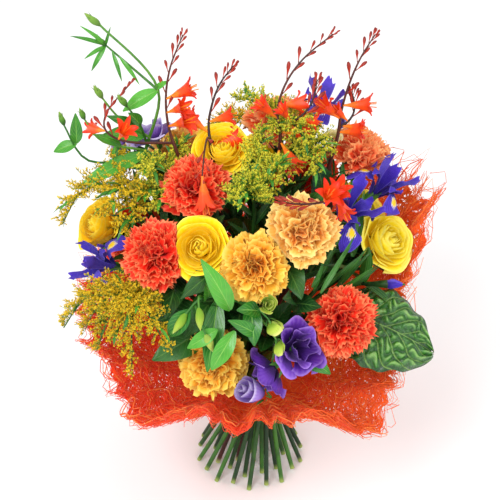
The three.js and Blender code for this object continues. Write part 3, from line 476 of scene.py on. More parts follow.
def iris_finish():
    """Violet-blue with darker veins and the yellow signal on each fall."""
    f = Finish("iris_petal")
    along, across, shade, signal = f.numbers("along", "across", "shade", "signal")
    veins = ((across * 9.0 + f.noise(60.0, 2.0) * 1.5) * 4.0).sine().step(0.2, 1.0)
    cloud = f.noise(120.0, 3.0)
    colour = f.mix(srgb(38, 16, 140), srgb(78, 50, 200), (along + cloud * 0.8 - 0.4).step(0.1, 0.9))
    colour = f.mix(colour, srgb(24, 8, 96), veins * 0.55)
    colour = f.mix(colour, srgb(116, 96, 222), shade.step(0.4, 1.0) * 0.4)
    colour = f.mix(colour, srgb(140, 124, 230), abs(across).step(0.8, 1.0) * cloud * 0.7)
    patch = signal + f.noise(260.0, 3.0) * 0.7 - 0.35 - veins * 0.2
    colour = f.mix(colour, srgb(226, 222, 240), patch.step(0.22, 0.4) * 0.8)
    colour = f.mix(colour, srgb(250, 206, 16), patch.step(0.36, 0.56))
    # a faint painted glow lifts the petals' shade
    return f.done(colour, 0.5, f.bump(veins + cloud * 2 + f.noise(500.0, 2.0) * 0.4, 0.0005, 0.7), painted_glow=0.06,
                  Sheen_Weight=0.08, Sheen_Roughness=0.4, Specular_IOR_Level=0.3)


def leaf_finish(name, dark, light, vein_colour, gloss=0.4, ribs=26.0, parallel=False):
    """A leaf with a pale midrib and side veins, or with veins that run its whole length."""
    f = Finish(name)
    along, across, shade = f.numbers("along", "across", "shade")
    cloud = f.noise(70.0, 3.0)
    colour = f.mix(srgb(*dark), srgb(*light), (shade * 0.6 + cloud * 0.6 - 0.1).step(0.15, 0.85))
    side = abs(across)
    if parallel:
        veins = ((across * 18.0).sine() * 0.5 + 0.5).step(0.6, 1.0)
    else:
        veins = ((along * ribs - side * 5.0) * HALF_TURN).sine().step(0.8, 1.0) * (1 - side.step(0.8, 1.0))
    midrib = 1 - side.step(0.02, 0.09)
    colour = f.mix(colour, srgb(*vein_colour), veins * 0.4)
    colour = f.mix(colour, srgb(*vein_colour), midrib * 0.75)
    height = cloud * 0.5 - veins * 0.5 - midrib * 0.6 + f.noise(480.0, 2.0) * 0.25
    return f.done(colour, cloud * 0.15 + gloss, f.bump(height, 0.0006, 0.7), Specular_IOR_Level=0.5)


def puckered_finish():
    """Dark glossy leaf, puckered between a net of paler veins."""
    f = Finish("puckered_leaf_skin")
    along, across, high, vein = f.numbers("along", "across", "shade", "vein")
    vein = 1 - vein.step(0.02, 0.14)
    pucker = f.cells(110.0).step(0.0, 0.3)
    small = f.cells(420.0)
    cloud = f.noise(60.0, 3.0)
    # painted light: the pucker tops are painted lighter with painted highlights, the hollows painted darker
    # as shade
    colour = f.mix(srgb(18, 62, 20), srgb(76, 150, 50), high * 0.75 + pucker * 0.25 + cloud * 0.5 - 0.3)
    colour = f.mix(colour, srgb(150, 190, 104), (high + cloud * 0.7 - 0.1).step(0.7, 1.3) * 0.6)
    colour = f.mix(colour, srgb(128, 170, 80), vein * 0.7)
    colour = f.mix(colour, srgb(14, 40, 20), (abs(across) - along * 0.1).step(0.86, 1.0) * 0.5)
    height = pucker + small.step(0.0, 0.25) * 0.25 - vein * 0.6
    return f.done(colour, 0.3 - pucker * 0.06, f.bump(height, 0.0015, 0.7), Specular_IOR_Level=0.45,
                  Coat_Weight=0.25, Coat_Roughness=0.2)


def stem_finish(name, dark, light, cut_colour=(190, 200, 120)):
    """A stalk with upright streaks, paler at its cut end."""
    f = Finish(name)
    along, shade = f.numbers("along", "shade")
    drawn_out = f.add("ShaderNodeMapping", {}, {"Vector": f.place, "Scale": (1.0, 1.0, 0.12)}).outputs[0]
    streak = f.noise(160.0, 2.0, 0.4, drawn_out)
    colour = f.mix(srgb(*dark), srgb(*light), (streak * 0.8 + shade * 0.7 - 0.35).step(0.1, 0.9))
    colour = f.mix(colour, srgb(*cut_colour), 1 - along.step(0.0, 0.006))
    return f.done(colour, 0.42 + streak * 0.2, f.bump(streak + f.noise(700.0, 2.0) * 0.3, 0.0004, 0.5),
                  Specular_IOR_Level=0.45)


def spike_finish(name, low, middle, high, roughness=0.45, painted_glow=0.0):
    """Colour along a floret, bud or sprig from its foot to its tip."""
    f = Finish(name)
    along, shade = f.numbers("along", "shade")
    cloud = f.noise(260.0, 2.0)
    colour = f.mix(srgb(*low), srgb(*middle), (along + cloud * 0.3 - 0.15).step(0.05, 0.45))
    colour = f.mix(colour, srgb(*high), (along + cloud * 0.2 - 0.1).step(0.45, 0.95))
    colour = f.mix(colour, srgb(*middle), shade * 0.4)
    return f.done(colour, roughness, f.bump(cloud, 0.0003, 0.5), painted_glow=painted_glow, Specular_IOR_Level=0.4,
                  Sheen_Weight=0.05)


def sisal_colour(f):
    """Dyed sisal: orange-red, redder towards the left side, with duller and brighter strands."""
    shade = f.number("shade")
    side = Value(f, f.add("ShaderNodeSeparateXYZ", {}, {0: f.place}).outputs[0])
    cloud = f.noise(26.0, 3.0)
    colour = f.mix(srgb(252, 66, 16), srgb(244, 98, 18), (side * 2.4 + cloud * 1.1).step(0.25, 1.0))
    colour = f.mix(colour, srgb(206, 40, 8), (1 - shade).step(0.55, 1.0) * 0.6)
    return f.mix(colour, srgb(255, 160, 70), shade.step(0.65, 1.0) * 0.6)


def web_finish():
    """The sheet's own web: crossing fibres with small gaps, more open towards the edge."""
    f = Finish("sisal_web")
    along = f.number("along")
    lay = f.add("ShaderNodeUVMap", {"uv_map": "lay"}).outputs[0]
    bend = f.add("ShaderNodeTexNoise", {}, {"Vector": lay, "Scale": 30.0, "Detail": 2.0}).outputs[1]
    bent = f.add("ShaderNodeVectorMath", {"operation": "MULTIPLY_ADD"},
                 {0: bend, 1: (0.012, 0.012, 0.0), 2: lay}).outputs[0]
    coarse = 1 - f.cells(170.0, place=bent).step(0.02, 0.16)
    fine = 1 - f.cells(330.0, place=bent).step(0.04, 0.22)
    web = coarse.math("MAXIMUM", fine)
    cover = web + (1 - along).step(0.25, 0.95) * 0.8
    alpha = (cover + f.noise(40.0, 2.0, place=bent) * 0.5 - 0.2).step(0.35, 0.5)
    colour = f.mix(sisal_colour(f), srgb(232, 52, 10), (1 - web) * 0.4)
    # a faint painted glow lifts the sheet's shade
    return f.done(colour, 0.85, f.bump(web, 0.0006, 0.8), alpha, painted_glow=0.1, Sheen_Weight=0.1)


def fibre_finish():
    """The loose fibres, finely grained along the sheet's own colours."""
    f = Finish("sisal_fibre")
    # a faint painted glow lifts the fibres' shade
    return f.done(sisal_colour(f), 0.75, f.bump(f.noise(900.0, 2.0), 0.0002, 0.6), painted_glow=0.1, Sheen_Weight=0.1)


def twine_finish():
    """Jute twine: brown strands with paler loose hairs."""
    f = Finish("tie_twine")
    cloud = f.noise(380.0, 3.0)
    colour = f.mix(srgb(120, 84, 46), srgb(196, 158, 104), cloud.step(0.3, 0.75))
    return f.done(colour, 0.9, f.bump(cloud, 0.0005, 0.8), Sheen_Weight=0.3)


def floor_finish():
    """Pale matt floor, faintly clouded."""
    f = Finish("studio_floor")
    return f.done(f.mix((0.86, 0.86, 0.86, 1), (0.9, 0.9, 0.9, 1), f.noise(3.0, 2.0)), 0.8)


# name, colours of the claw, the body, the rim and the heart, share where the rim starts, painted glow,
# streaks
# the claw's colour is partly its own and partly painted shade deep in the flower; the painted glow lifts the
# shade
PETALS = {
    "red": ("carnation_red_petal", (206, 10, 2), (238, 34, 12), (252, 142, 92), (238, 22, 6),
            0.9, 0.02, 0.18),
    "coral": ("carnation_coral_petal", (222, 36, 8), (244, 86, 36), (252, 188, 124), (238, 54, 16),
              0.78, 0.05, 0.45),
    "peach": ("carnation_peach_petal", (226, 112, 24), (246, 184, 78), (253, 224, 140), (240, 124, 24),
              0.84, 0.02, 0.3),
    "golden": ("carnation_golden_petal", (226, 122, 12), (246, 184, 48), (252, 218, 104), (242, 134, 16),
               0.86, 0.02, 0.3),
    "yellow": ("rose_yellow_petal", (248, 200, 4), (252, 222, 14), (254, 238, 90), (254, 222, 10),
               0.9, 0.07, 0.2),
    "pale": ("rose_pale_petal", (246, 210, 10), (250, 230, 40), (253, 242, 120), (252, 228, 24),
             0.8, 0.06, 0.2),
    "ochre": ("rose_ochre_petal", (228, 168, 6), (250, 210, 14), (253, 230, 80), (244, 196, 6),
              0.9, 0.04, 0.2),
    "purple": ("lisianthus_petal", (44, 10, 84), (98, 44, 168), (158, 118, 212), (40, 20, 60),
               0.84, 0.02, 0.3),
    "lilac": ("lisianthus_lilac_petal", (88, 44, 140), (150, 110, 204), (214, 200, 236), (120, 76, 180),
              0.72, 0.02, 0.3),
    "green": ("lisianthus_green_petal", (110, 146, 34), (170, 192, 66), (226, 226, 130), (130, 160, 44),
              0.74, 0.02, 0.3),
    "cream": ("cream_petal", (206, 190, 104), (240, 230, 180), (250, 246, 222), (196, 184, 90),
              0.8, 0.15, 0.3),
    "bud": ("lisianthus_bud_petal", (40, 92, 30), (86, 140, 44), (176, 200, 96), (60, 110, 34),
            0.9, 0.0, 0.6),
    "young": ("lisianthus_young_petal", (112, 156, 40), (172, 198, 66), (230, 232, 140), (130, 164, 44),
              0.86, 0.02, 0.5),
}
FINISHES = {colour: petal_finish(*row) for colour, row in PETALS.items()}
FINISHES["blue"] = iris_finish()
FRESH_LEAF = leaf_finish("fresh_leaf", (26, 104, 28), (84, 170, 50), (134, 194, 84), 0.24, 12.0)
DEEP_LEAF = leaf_finish("deep_leaf", (14, 54, 20), (46, 104, 32), (86, 134, 58), 0.3, 18.0)
STRAP_LEAF = leaf_finish("strap_leaf", (14, 64, 20), (52, 118, 36), (96, 150, 64), 0.3, parallel=True)
PUCKERED = puckered_finish()
GREEN_STEM = stem_finish("green_stem", (10, 48, 12), (62, 120, 30), (150, 170, 84))
PALE_STEM = stem_finish("pale_stem", (44, 106, 32), (110, 166, 58))
MAROON_STEM = stem_finish("maroon_stem", (40, 12, 10), (84, 30, 18))
CALYX = spike_finish("calyx_green", (40, 90, 32), (66, 124, 44), (96, 150, 62))
CROCOSMIA_BUD = spike_finish("crocosmia_bud_skin", (84, 44, 14), (176, 40, 10), (124, 24, 10))
# the crocosmia florets and the goldenrod florets get a faint painted glow that lifts their shade
CROCOSMIA_LOBE = spike_finish("crocosmia_floret_skin", (250, 140, 20), (238, 70, 10), (214, 30, 6), painted_glow=0.06)
GOLD_FLORET = spike_finish("goldenrod_floret_skin", (74, 104, 22), (190, 164, 22), (250, 212, 34), 0.8, 0.04)
LIME_FLORET = spike_finish("goldenrod_lime_skin", (66, 116, 28), (164, 178, 36), (240, 226, 64), 0.8, 0.04)
WEB = web_finish()
FIBRE = fibre_finish()
TWINE = twine_finish()


# ---------------------------------------------------------------- lines and frames, in millimetres
def vec(values):
    return np.array(values, dtype=float)


def shares(rows, columns):
    """Shares from 0 to 1 along a grid, as a column, and from -1 to 1 across it, as a row."""
    return np.linspace(0, 1, rows)[:, None], np.linspace(-1, 1, columns)[None]


def round_angles(sides):
    return np.linspace(0, 2 * math.pi, sides, endpoint=False)[None]


def compass(heading):
    """The level direction of a heading, and the one a quarter turn on."""
    out = vec((math.cos(heading), math.sin(heading), 0))
    return out, vec((-out[1], out[0], 0))


def unit(v):
    return v / max(np.linalg.norm(v), 1e-9)


def direction(azimuth, elevation):
    a, e = math.radians(azimuth), math.radians(elevation)
    return vec((math.cos(e) * math.cos(a), math.cos(e) * math.sin(a), math.sin(e)))


def polar(radius, angle, height):
    return np.stack(np.broadcast_arrays(radius * np.cos(angle), radius * np.sin(angle), height), axis=-1)


def head_basis(look, spin=0.0):
    """Columns are the head's own x, y and z, with z the way it faces."""
    z = unit(look)
    side = vec((1, 0, 0)) if abs(z[2]) > 0.95 else vec((0, 0, 1))
    x = unit(np.cross(side, z))
    y = np.cross(z, x)
    c, s = math.cos(spin), math.sin(spin)
    return np.column_stack([x * c + y * s, y * c - x * s, z])


def quadratic(start, end, bow, steps):
    control = (start + end) / 2 + 2 * vec(bow)
    t = np.linspace(0, 1, steps + 1)[:, None]
    return (1 - t) ** 2 * start + 2 * t * (1 - t) * control + t ** 2 * end


def cubic(a, b, c, d, steps):
    t = np.linspace(0, 1, steps + 1)[:, None]
    return (1 - t) ** 3 * a + 3 * t * (1 - t) ** 2 * b + 3 * t ** 2 * (1 - t) * c + t ** 3 * d


def smoothed(points, values, per=4):
    """A smooth line through the points, with the values that go with them."""
    data = np.column_stack([points, values])
    padded = np.vstack([2 * data[0] - data[1], data, 2 * data[-1] - data[-2]])
    out = []
    for k in range(1, len(padded) - 2):
        p0, p1, p2, p3 = padded[k - 1:k + 3]
        for t in np.linspace(0, 1, per, endpoint=False):
            out.append(0.5 * (2 * p1 + (p2 - p0) * t + (2 * p0 - 5 * p1 + 4 * p2 - p3) * t ** 2
                              + (3 * p1 - p0 - 3 * p2 + p3) * t ** 3))
    out.append(padded[-2])
    out = np.array(out)
    return out[:, :3], out[:, 3]


def along_path(path, share):
    """The point at a share of the path, and the way the path goes there."""
    scaled = min(max(share, 0), 0.999) * (len(path) - 1)
    k = int(scaled)
    at = path[k] + (path[k + 1] - path[k]) * (scaled - k)
    return at, unit(path[k + 1] - path[k])


def basis_along(z, hint):
    """Columns are x, y and z, with z as given and y as near to hint as it can be."""
    z = unit(z)
    y = unit(hint - z * (hint @ z))
    return np.column_stack([np.cross(y, z), y, z])


def euler_of(basis):
    return Matrix([list(row) for row in basis]).to_euler()


# ---------------------------------------------------------------- heads and where the stems go
heads = []
stalks = {}


def add_head(owner, kind, middle, look, size, colour):
    """A flower's or bud's head, with the neck that joins it to its stem."""
    middle = vec(middle)
    look = unit(look)
    head = {"owner": owner, "kind": kind, "middle": middle, "look": look, "size": size, "colour": colour,
            "neck": [middle + look * h * size for h, _ in NECKS[kind]],
            "neck_radii": [r * size for _, r in NECKS[kind]]}
    heads.append(head)
    return head


def bend_clear(path, owner, fixed):
    """Moves the inner points of a path out of the heads that it would run through."""
    for _ in range(BEND_PASSES):
        for k in range(fixed, len(path) - 1):
            for head in heads:
                away = path[k] - head["middle"]
                needed = HEAD_SHARE * head["size"] + HEAD_GAP
                if head["owner"] != owner and np.linalg.norm(away) < needed:
                    path[k] = head["middle"] + unit(away) * needed
    return path


def press_apart(points, head):
    """Flattens what reaches past the plane between this head and a neighbour onto that plane."""
    for other in heads:
        away = other["middle"] - head["middle"]
        apart = np.linalg.norm(away)
        if other["owner"] != head["owner"] and apart < NEAR_SHARE * (head["size"] + other["size"]):
            share = (apart ** 2 + head["size"] ** 2 - other["size"] ** 2) / (2 * apart)
            past = (points - head["middle"]) @ unit(away) - share
            points = points - np.maximum(past, 0)[:, None] * PRESSED_SHARE * unit(away)
    return points


def in_head(grid, head):
    """A grid of points round the head's middle, in its place and pressed against the neighbours."""
    points = head["middle"] + grid
    return press_apart(points.reshape(-1, 3), head).reshape(points.shape)


def up_and_out(base, lean):
    return unit(vec((base[0] * lean, base[1] * lean, 1)))


def lay_out():
    """Heads and branches of every flower, in the same order as the solids."""
    for name, (kind, colour, middle, facing, size) in BLOOMS.items():
        look = direction(*facing)
        head = add_head(name, kind, middle, look, size, colour)
        stalks[name] = {"base": head["neck"][0], "facing": look, "tubes": [], "heads": [head]}
    for name, (colour, base, branches, _) in LISIANTHUS.items():
        base = vec(base)
        item = {"base": base, "facing": up_and_out(base, LEAN["lisianthus"]), "tubes": [], "heads": []}
        stalks[name] = item
        for start, tip, bow, kind, size in branches:
            root = along_path(item["tubes"][0], start)[0] if item["tubes"] else base
            path = quadratic(root, vec(tip), bow, 4)
            tint = "lilac" if colour == "purple" and kind == "bud" else colour
            if kind == "bud" and size < SLIM_BUD:
                tint = "young" if size == YOUNG_BUD else "bud"
            head = add_head(name, kind, tip, path[4] - path[3], size, tint)
            item["heads"].append(head)
            item["tubes"].append(np.array([path[0], path[2], *head["neck"]]))
    for table, kind in ((CROCOSMIA, "crocosmia"), (GOLDENROD, "goldenrod")):
        for name, (base, sprays) in table.items():
            base = vec(base)
            item = {"base": base, "facing": up_and_out(base, LEAN[kind]), "tubes": [], "heads": []}
            stalks[name] = item
            for tip, bow, *_ in sprays:
                start = SPRAY_STEP[kind] * len(item["tubes"])
                root = along_path(item["tubes"][0], start)[0] if item["tubes"] else base
                item["tubes"].append(bend_clear(quadratic(root, vec(tip), bow, 4), name, fixed=1))
    root, tip = vec(PUCKERED_LEAF["root"]), vec(PUCKERED_LEAF["tip"])
    towards = unit(tip - root)
    stalks["puckered_leaf"] = {"base": root - towards * 5, "facing": up_and_out(root, LEAN["leaf"]),
                               "heads": [], "tubes": [np.array([root - towards * 6, root + towards * 20])]}
    root, tip = vec(STRAP_LEAVES["root"]), vec(STRAP_LEAVES["bud_tip"])
    look = unit(tip - root)
    stalks["iris_leaves"] = {"base": root, "facing": look, "heads": [],
                             "tubes": [np.array([root - look, root + look * 20, root + look * 34, tip])]}


def give_places():
    """Flowers that lean furthest out take the outer places; each ring is filled in order of azimuth."""
    def lean(item):
        return math.hypot(item["base"][0], item["base"][1]) / (item["base"][2] - TIE_HEIGHT)

    def azimuth(item):
        return math.atan2(item["base"][1], item["base"][0])

    outward = sorted(stalks.values(), key=lean, reverse=True)
    taken = 0
    for ring in range(len(RING_STEMS) - 1, -1, -1):
        members = sorted(outward[taken:taken + RING_STEMS[ring]], key=azimuth)
        taken += len(members)
        step = 2 * math.pi / RING_STEMS[ring]
        offset = sum(azimuth(item) - n * step for n, item in enumerate(members)) / len(members)
        for n, item in enumerate(members):
            item["ring"] = ring
            item["angle"] = offset + n * step - math.radians(STEM_TURN)
            item["cut"] = CUT_STEPS[(n + ring) % 4] + 3 - ring if ring else 0


def stem_path(name):
    """The stem's corners from its cut foot, through the waist and round the other heads, to its top."""
    item = stalks[name]
    radius = RING_RADIUS[item["ring"]]
    slope = math.sqrt(RING_FOOT_RADIUS[item["ring"]] ** 2 - radius ** 2) / TIE_HEIGHT
    angle = item["angle"]
    waist = polar(radius, angle, TIE_HEIGHT)
    along = vec((-math.sin(angle) * slope, math.cos(angle) * slope, 1))
    foot = waist + along * (item["cut"] - TIE_HEIGHT)
    leave = waist + along * STRAIGHT_ABOVE_TIE
    reach = np.linalg.norm(leave - item["base"]) / 3
    curve = cubic(leave, leave + unit(along) * reach, item["base"] - item["facing"] * reach, item["base"], 4)
    return bend_clear(np.vstack([foot, curve]), name, fixed=3)


# ---------------------------------------------------------------- meshes
def grid_faces(rows, columns, closed=False):
    index = np.arange(rows * columns).reshape(rows, columns)
    here = index if closed else index[:, :-1]
    there = np.roll(index, -1, axis=1) if closed else index[:, 1:]
    return np.stack([here[:-1], there[:-1], there[1:], here[1:]], axis=-1).reshape(-1, 4)


class Skin:
    """Collects grids of points, with a few numbers for each point, into one mesh."""

    def __init__(self):
        self.points, self.faces, self.numbers, self.count = [], [], {}, 0

    def grid(self, rows, closed=False, **numbers):
        """Adds a grid; closed joins its last column to its first."""
        shape = rows.shape[:2]
        self.faces.append(grid_faces(*shape, closed) + self.count)
        self.points.append(rows.reshape(-1, 3))
        for name in sorted(set(self.numbers) | set(numbers)):
            kept = self.numbers.setdefault(name, [np.zeros(self.count)])
            kept.append(np.broadcast_to(numbers.get(name, 0.0), shape).reshape(-1))
        self.count += shape[0] * shape[1]

    def mesh(self, name, material=None):
        mesh = bpy.data.meshes.new(name)
        points = np.vstack(self.points) * MM
        mesh.from_pydata(points.tolist(), [], np.vstack(self.faces).tolist())
        for key, parts in self.numbers.items():
            put_numbers(mesh, key, np.concatenate(parts))
        mesh.shade_smooth()
        if material:
            mesh.materials.append(material)
        return mesh

    def piece(self, name, material):
        return place_mesh(name, self.mesh(name, material))


class Places:
    """Where the copies of a set of shapes go, and which shape of the set each one is."""

    def __init__(self):
        self.at, self.basis, self.grow, self.pick = [], [], [], []

    def put(self, at, basis, grow, pick):
        self.at.append(at)
        self.basis.append(basis)
        self.grow.append(np.broadcast_to(grow, 3))
        self.pick.append(pick)


def put_numbers(mesh, name, values, kind="FLOAT"):
    layer = mesh.attributes.new(name, kind, "POINT")
    field = "vector" if kind == "FLOAT_VECTOR" else "value"
    flat = np.ascontiguousarray(values, dtype=np.int32 if kind == "INT" else float).ravel()
    layer.data.foreach_set(field, flat)


def show(obj, nodes):
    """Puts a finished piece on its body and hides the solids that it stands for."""
    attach(obj, ROOT)
    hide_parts(*([nodes] if isinstance(nodes, str) else nodes))
    return obj


def place_mesh(name, mesh):
    obj = bpy.data.objects.new(name, mesh)
    scene.collection.objects.link(obj)
    return obj


def bake(obj):
    """Turns what the object's modifiers make into its plain mesh."""
    graph = bpy.context.evaluated_depsgraph_get()
    mesh = bpy.data.meshes.new_from_object(obj.evaluated_get(graph), preserve_all_data_layers=True,
                                           depsgraph=graph)
    obj.modifiers.clear()
    obj.data = mesh
    mesh.shade_smooth()
    return obj


def start_tree(name, **sockets):
    """An empty tree with its named inputs: its nodes, and the node that gives the inputs."""
    tree = bpy.data.node_groups.new(name, "GeometryNodeTree")
    tree.interface.new_socket("Result", in_out="OUTPUT", socket_type="NodeSocketGeometry")
    for label, kind in {"Geometry": "Geometry", **sockets}.items():
        tree.interface.new_socket(label, in_out="INPUT", socket_type=f"NodeSocket{kind}")
    nodes = Nodes(tree)
    return nodes, nodes.add("NodeGroupInput")


def named(nodes, name, kind):
    """A value that the mesh keeps for each point."""
    return nodes.add("GeometryNodeInputNamedAttribute", {"data_type": kind}, {0: name}).outputs[0]


def finish_tree(nodes, entry, geometry):
    """Ends the tree in plain geometry with the piece's material."""
    whole = nodes.add("GeometryNodeRealizeInstances", {}, {0: geometry})
    finish = nodes.add("GeometryNodeSetMaterial", {},
                       {0: whole.outputs[0], "Material": entry.outputs["Finish"]})
    nodes.add("NodeGroupOutput", {}, {0: finish.outputs[0]})
    return nodes.tree


def copies_tree():
    """Puts the shapes of a collection on points, each with its own turn, size and pick."""
    nodes, entry = start_tree("placed_copies", Shapes="Collection", Size="Float", Finish="Material")
    shapes = nodes.add("GeometryNodeCollectionInfo", {}, {0: entry.outputs["Shapes"], 1: True, 2: True})
    turned = nodes.add("FunctionNodeEulerToRotation", {}, {0: named(nodes, "turn", "FLOAT_VECTOR")})
    grown = nodes.add("ShaderNodeVectorMath", {"operation": "SCALE"},
                      {0: named(nodes, "grow", "FLOAT_VECTOR"), "Scale": entry.outputs["Size"]})
    placed = nodes.add("GeometryNodeInstanceOnPoints", {},
                       {"Points": entry.outputs["Geometry"], "Instance": shapes.outputs[0],
                        "Pick Instance": True, "Instance Index": named(nodes, "pick", "INT"),
                        "Rotation": turned.outputs[0], "Scale": grown.outputs[0]})
    return finish_tree(nodes, entry, placed.outputs[0])


def tubes_tree():
    """Sweeps a round section along every line of the mesh, its radius from the attribute thick."""
    nodes, entry = start_tree("tubes_on_lines", Sides="Int", Thickness="Float", Finish="Material")
    lines = nodes.add("GeometryNodeMeshToCurve", {}, {0: entry.outputs["Geometry"]})
    section = nodes.add("GeometryNodeCurvePrimitiveCircle", {},
                        {"Resolution": entry.outputs["Sides"], "Radius": 1.0})
    size = nodes.add("ShaderNodeMath", {"operation": "MULTIPLY"},
                     {0: named(nodes, "thick", "FLOAT"), 1: entry.outputs["Thickness"]})
    swept = nodes.add("GeometryNodeCurveToMesh", {},
                      {0: lines.outputs[0], 1: section.outputs[0], "Scale": size.outputs[0],
                       "Fill Caps": True})
    return finish_tree(nodes, entry, swept.outputs[0])


COPIES = copies_tree()
TUBES = tubes_tree()


def run_tree(obj, tree, values):
    """Gives the object what the tree makes of it, as a plain mesh."""
    modifier = obj.modifiers.new(tree.name, "NODES")
    modifier.node_group = tree
    names = {item.name: item.identifier for item in tree.interface.items_tree if item.in_out == "INPUT"}
    for label, value in values.items():
        modifier[names[label]] = value
    return bake(obj)


def copies(name, shapes, places, finish, hearts=None):
    """One piece of many copies; hearts is how near the middle of its flower each copy is."""
    group = bpy.data.collections.new(f"{name}_shapes")
    for k, mesh in enumerate(shapes):
        group.objects.link(bpy.data.objects.new(f"{name}_shape_{k:02d}", mesh))
    mesh = bpy.data.meshes.new(f"{name}_points")
    mesh.from_pydata((np.array(places.at) * MM).tolist(), [], [])
    put_numbers(mesh, "turn", [euler_of(basis) for basis in places.basis], "FLOAT_VECTOR")
    put_numbers(mesh, "grow", places.grow, "FLOAT_VECTOR")
    put_numbers(mesh, "pick", places.pick, "INT")
    put_numbers(mesh, "shade", rng.uniform(0, 1, len(places.at)))
    if hearts:
        put_numbers(mesh, "heart", hearts)
    obj = run_tree(place_mesh(name, mesh), COPIES, {"Shapes": group, "Size": 1.0, "Finish": finish})
    for shape in list(group.objects):
        bpy.data.objects.remove(shape)
    bpy.data.collections.remove(group)
    drop_numbers(obj, ("turn", "grow", "pick"))
    return obj


def drop_numbers(obj, names):
    """Removes what only the tree needed."""
    for key in names:
        layer = obj.data.attributes.get(key)
        if layer:
            obj.data.attributes.remove(layer)


def tubes(name, lines, finish, sides):
    """One piece of many round strands; lines is a list of (points, radii)."""
    points, edges, thick, along, shade = [], [], [], [], []
    for path, radii in lines:
        first = len(points)
        count = len(path)
        points.extend((np.array(path) * MM).tolist())
        edges.extend((first + k, first + k + 1) for k in range(count - 1))
        thick.extend(np.broadcast_to(radii, count))
        along.extend(np.linspace(0, 1, count))
        shade.extend([rng.uniform()] * count)
    mesh = bpy.data.meshes.new(f"{name}_lines")
    mesh.from_pydata(points, edges, [])
    put_numbers(mesh, "thick", thick)
    put_numbers(mesh, "along", along)
    put_numbers(mesh, "shade", shade)
    obj = run_tree(place_mesh(name, mesh), TUBES, {"Sides": sides, "Thickness": MM, "Finish": finish})
    drop_numbers(obj, ("thick",))
    return obj


def press_mesh(obj, head):
    """Presses a finished head flat against its neighbours."""
    count = len(obj.data.vertices)
    flat = np.empty(count * 3)
    obj.data.vertices.foreach_get("co", flat)
    points = press_apart(flat.reshape(-1, 3) / MM, head)
    obj.data.vertices.foreach_set("co", (points * MM).ravel())
    obj.data.update()


# ---------------------------------------------------------------- carnations
def carnation_petal(bend, frill, tooth, seed):
    """A frilled petal from a narrow claw, its rim toothed, its tip at 1 mm on +Z and its outer face to +Y."""
    draw = np.random.default_rng(seed)
    columns = 15
    v = np.array([0, 0.34, 0.62, 0.86, 1.0])[:, None]
    u = np.linspace(-1, 1, columns)[None]
    angle = bend * v ** 1.7
    way = np.hstack([np.sin(angle[1:]), np.cos(angle[1:])]) * np.diff(v, axis=0)
    steps = np.vstack([[[0, 0]], np.cumsum(way, axis=0)])
    half = 0.06 + 0.5 * v ** 1.25
    phase = draw.uniform(0, 6, 3)
    ruffle = frill * (0.15 * v ** 1.8 * np.sin(u * 4.4 + phase[0])
                      + 0.06 * v ** 3 * np.sin(u * 10 + phase[1]))
    ruffle = ruffle + (1.2 - frill) * 0.12 * v * u ** 2
    teeth = tooth * (np.arange(columns) % 2 * 2 - 1) * draw.uniform(0.4, 1.4, columns)
    split = draw.uniform(-0.5, 0.5)
    notch = 0.1 * np.clip(1 - np.abs(u - split) * 6, 0, 1)
    reach = np.where(v > 0.99, teeth - notch, 0) - 0.34 * v ** 2 * np.abs(u) ** 2.8
    reach = reach + 0.03 * v * np.sin(u * 4 + phase[2])
    x = u * half * (1 - 0.06 * v)
    y = steps[:, :1] + ruffle * np.cos(angle) + reach * np.sin(angle)
    z = steps[:, 1:] - ruffle * np.sin(angle) + reach * np.cos(angle)
    lean = math.atan2(steps[-1, 0], steps[-1, 1])
    size = math.hypot(*steps[-1])
    turned_y = (y * math.cos(lean) - z * math.sin(lean)) / size
    turned_z = (y * math.sin(lean) + z * math.cos(lean)) / size
    skin = Skin()
    skin.grid(np.stack([x / size, turned_y, turned_z], axis=-1), along=v, across=u)
    return skin.mesh(f"carnation_petal_{seed}")


def carnation_places(head):
    """Broad petals spread round the outside; towards the heart they stand up, crowd and turn every way."""
    size, basis = head["size"], head_basis(head["look"], rng.uniform(0, 6))
    places, hearts = Places(), []
    for n in range(CARNATION_PETALS):
        q = (n + 0.5) / CARNATION_PETALS
        psi = math.radians(max(4 + 98 * q ** 0.72 + rng.uniform(-9, 9), 1))
        out, side = compass(PETAL_TURN * n + rng.uniform(-0.25, 0.25))
        reach = size * (0.56 + 0.44 * math.sin(min(psi, 1.5)) ** 1.2) * rng.uniform(0.88, 1.08)
        tip = out * math.sin(psi) * reach + vec((0, 0, math.cos(psi) * reach - 0.08 * size))
        foot = out * 0.06 * size + vec((0, 0, -0.42 * size))
        swing = rng.uniform(-1, 1) * (1.6 * (1 - q) ** 1.5 + 0.25)
        outer = out * math.cos(swing) + side * math.sin(swing)
        length = np.linalg.norm(tip - foot)
        wide = rng.uniform(0.85, 1.15) * (0.5 + 0.42 * q) * size
        group = VARIANTS * ((q > 0.22) + (q > 0.58))
        places.put(head["middle"] + basis @ foot, basis @ basis_along(tip - foot, outer),
                   (wide, length * (0.9 - 0.3 * q), length), group + int(rng.integers(VARIANTS)))
        hearts.append(max(0.0, 1 - q * 1.8) * rng.uniform(0.4, 1))
    return places, hearts


def petal_set(tooth):
    """The variants of a petal for the heart, the middle and the outside of a head."""
    kinds = [(0.55, 1.2), (0.95, 0.95), (1.35, 0.6)]
    return [carnation_petal(bend, frill, tooth, VARIANTS * k + seed)
            for k, (bend, frill) in enumerate(kinds) for seed in range(VARIANTS)]


TOOTHED_PETALS = petal_set(0.055)
WAVED_PETALS = petal_set(0.03)


def make_carnation(name, head):
    sharp = head["colour"] in ("red", "coral")
    places, hearts = carnation_places(head)
    shapes = TOOTHED_PETALS if sharp else WAVED_PETALS
    obj = copies(f"{name}_petals", shapes, places, FINISHES[head["colour"]], hearts)
    press_mesh(obj, head)
    show(obj, name)


# ---------------------------------------------------------------- roses and lisianthus
def between(ends, share):
    return ends[0] + (ends[1] - ends[0]) * share


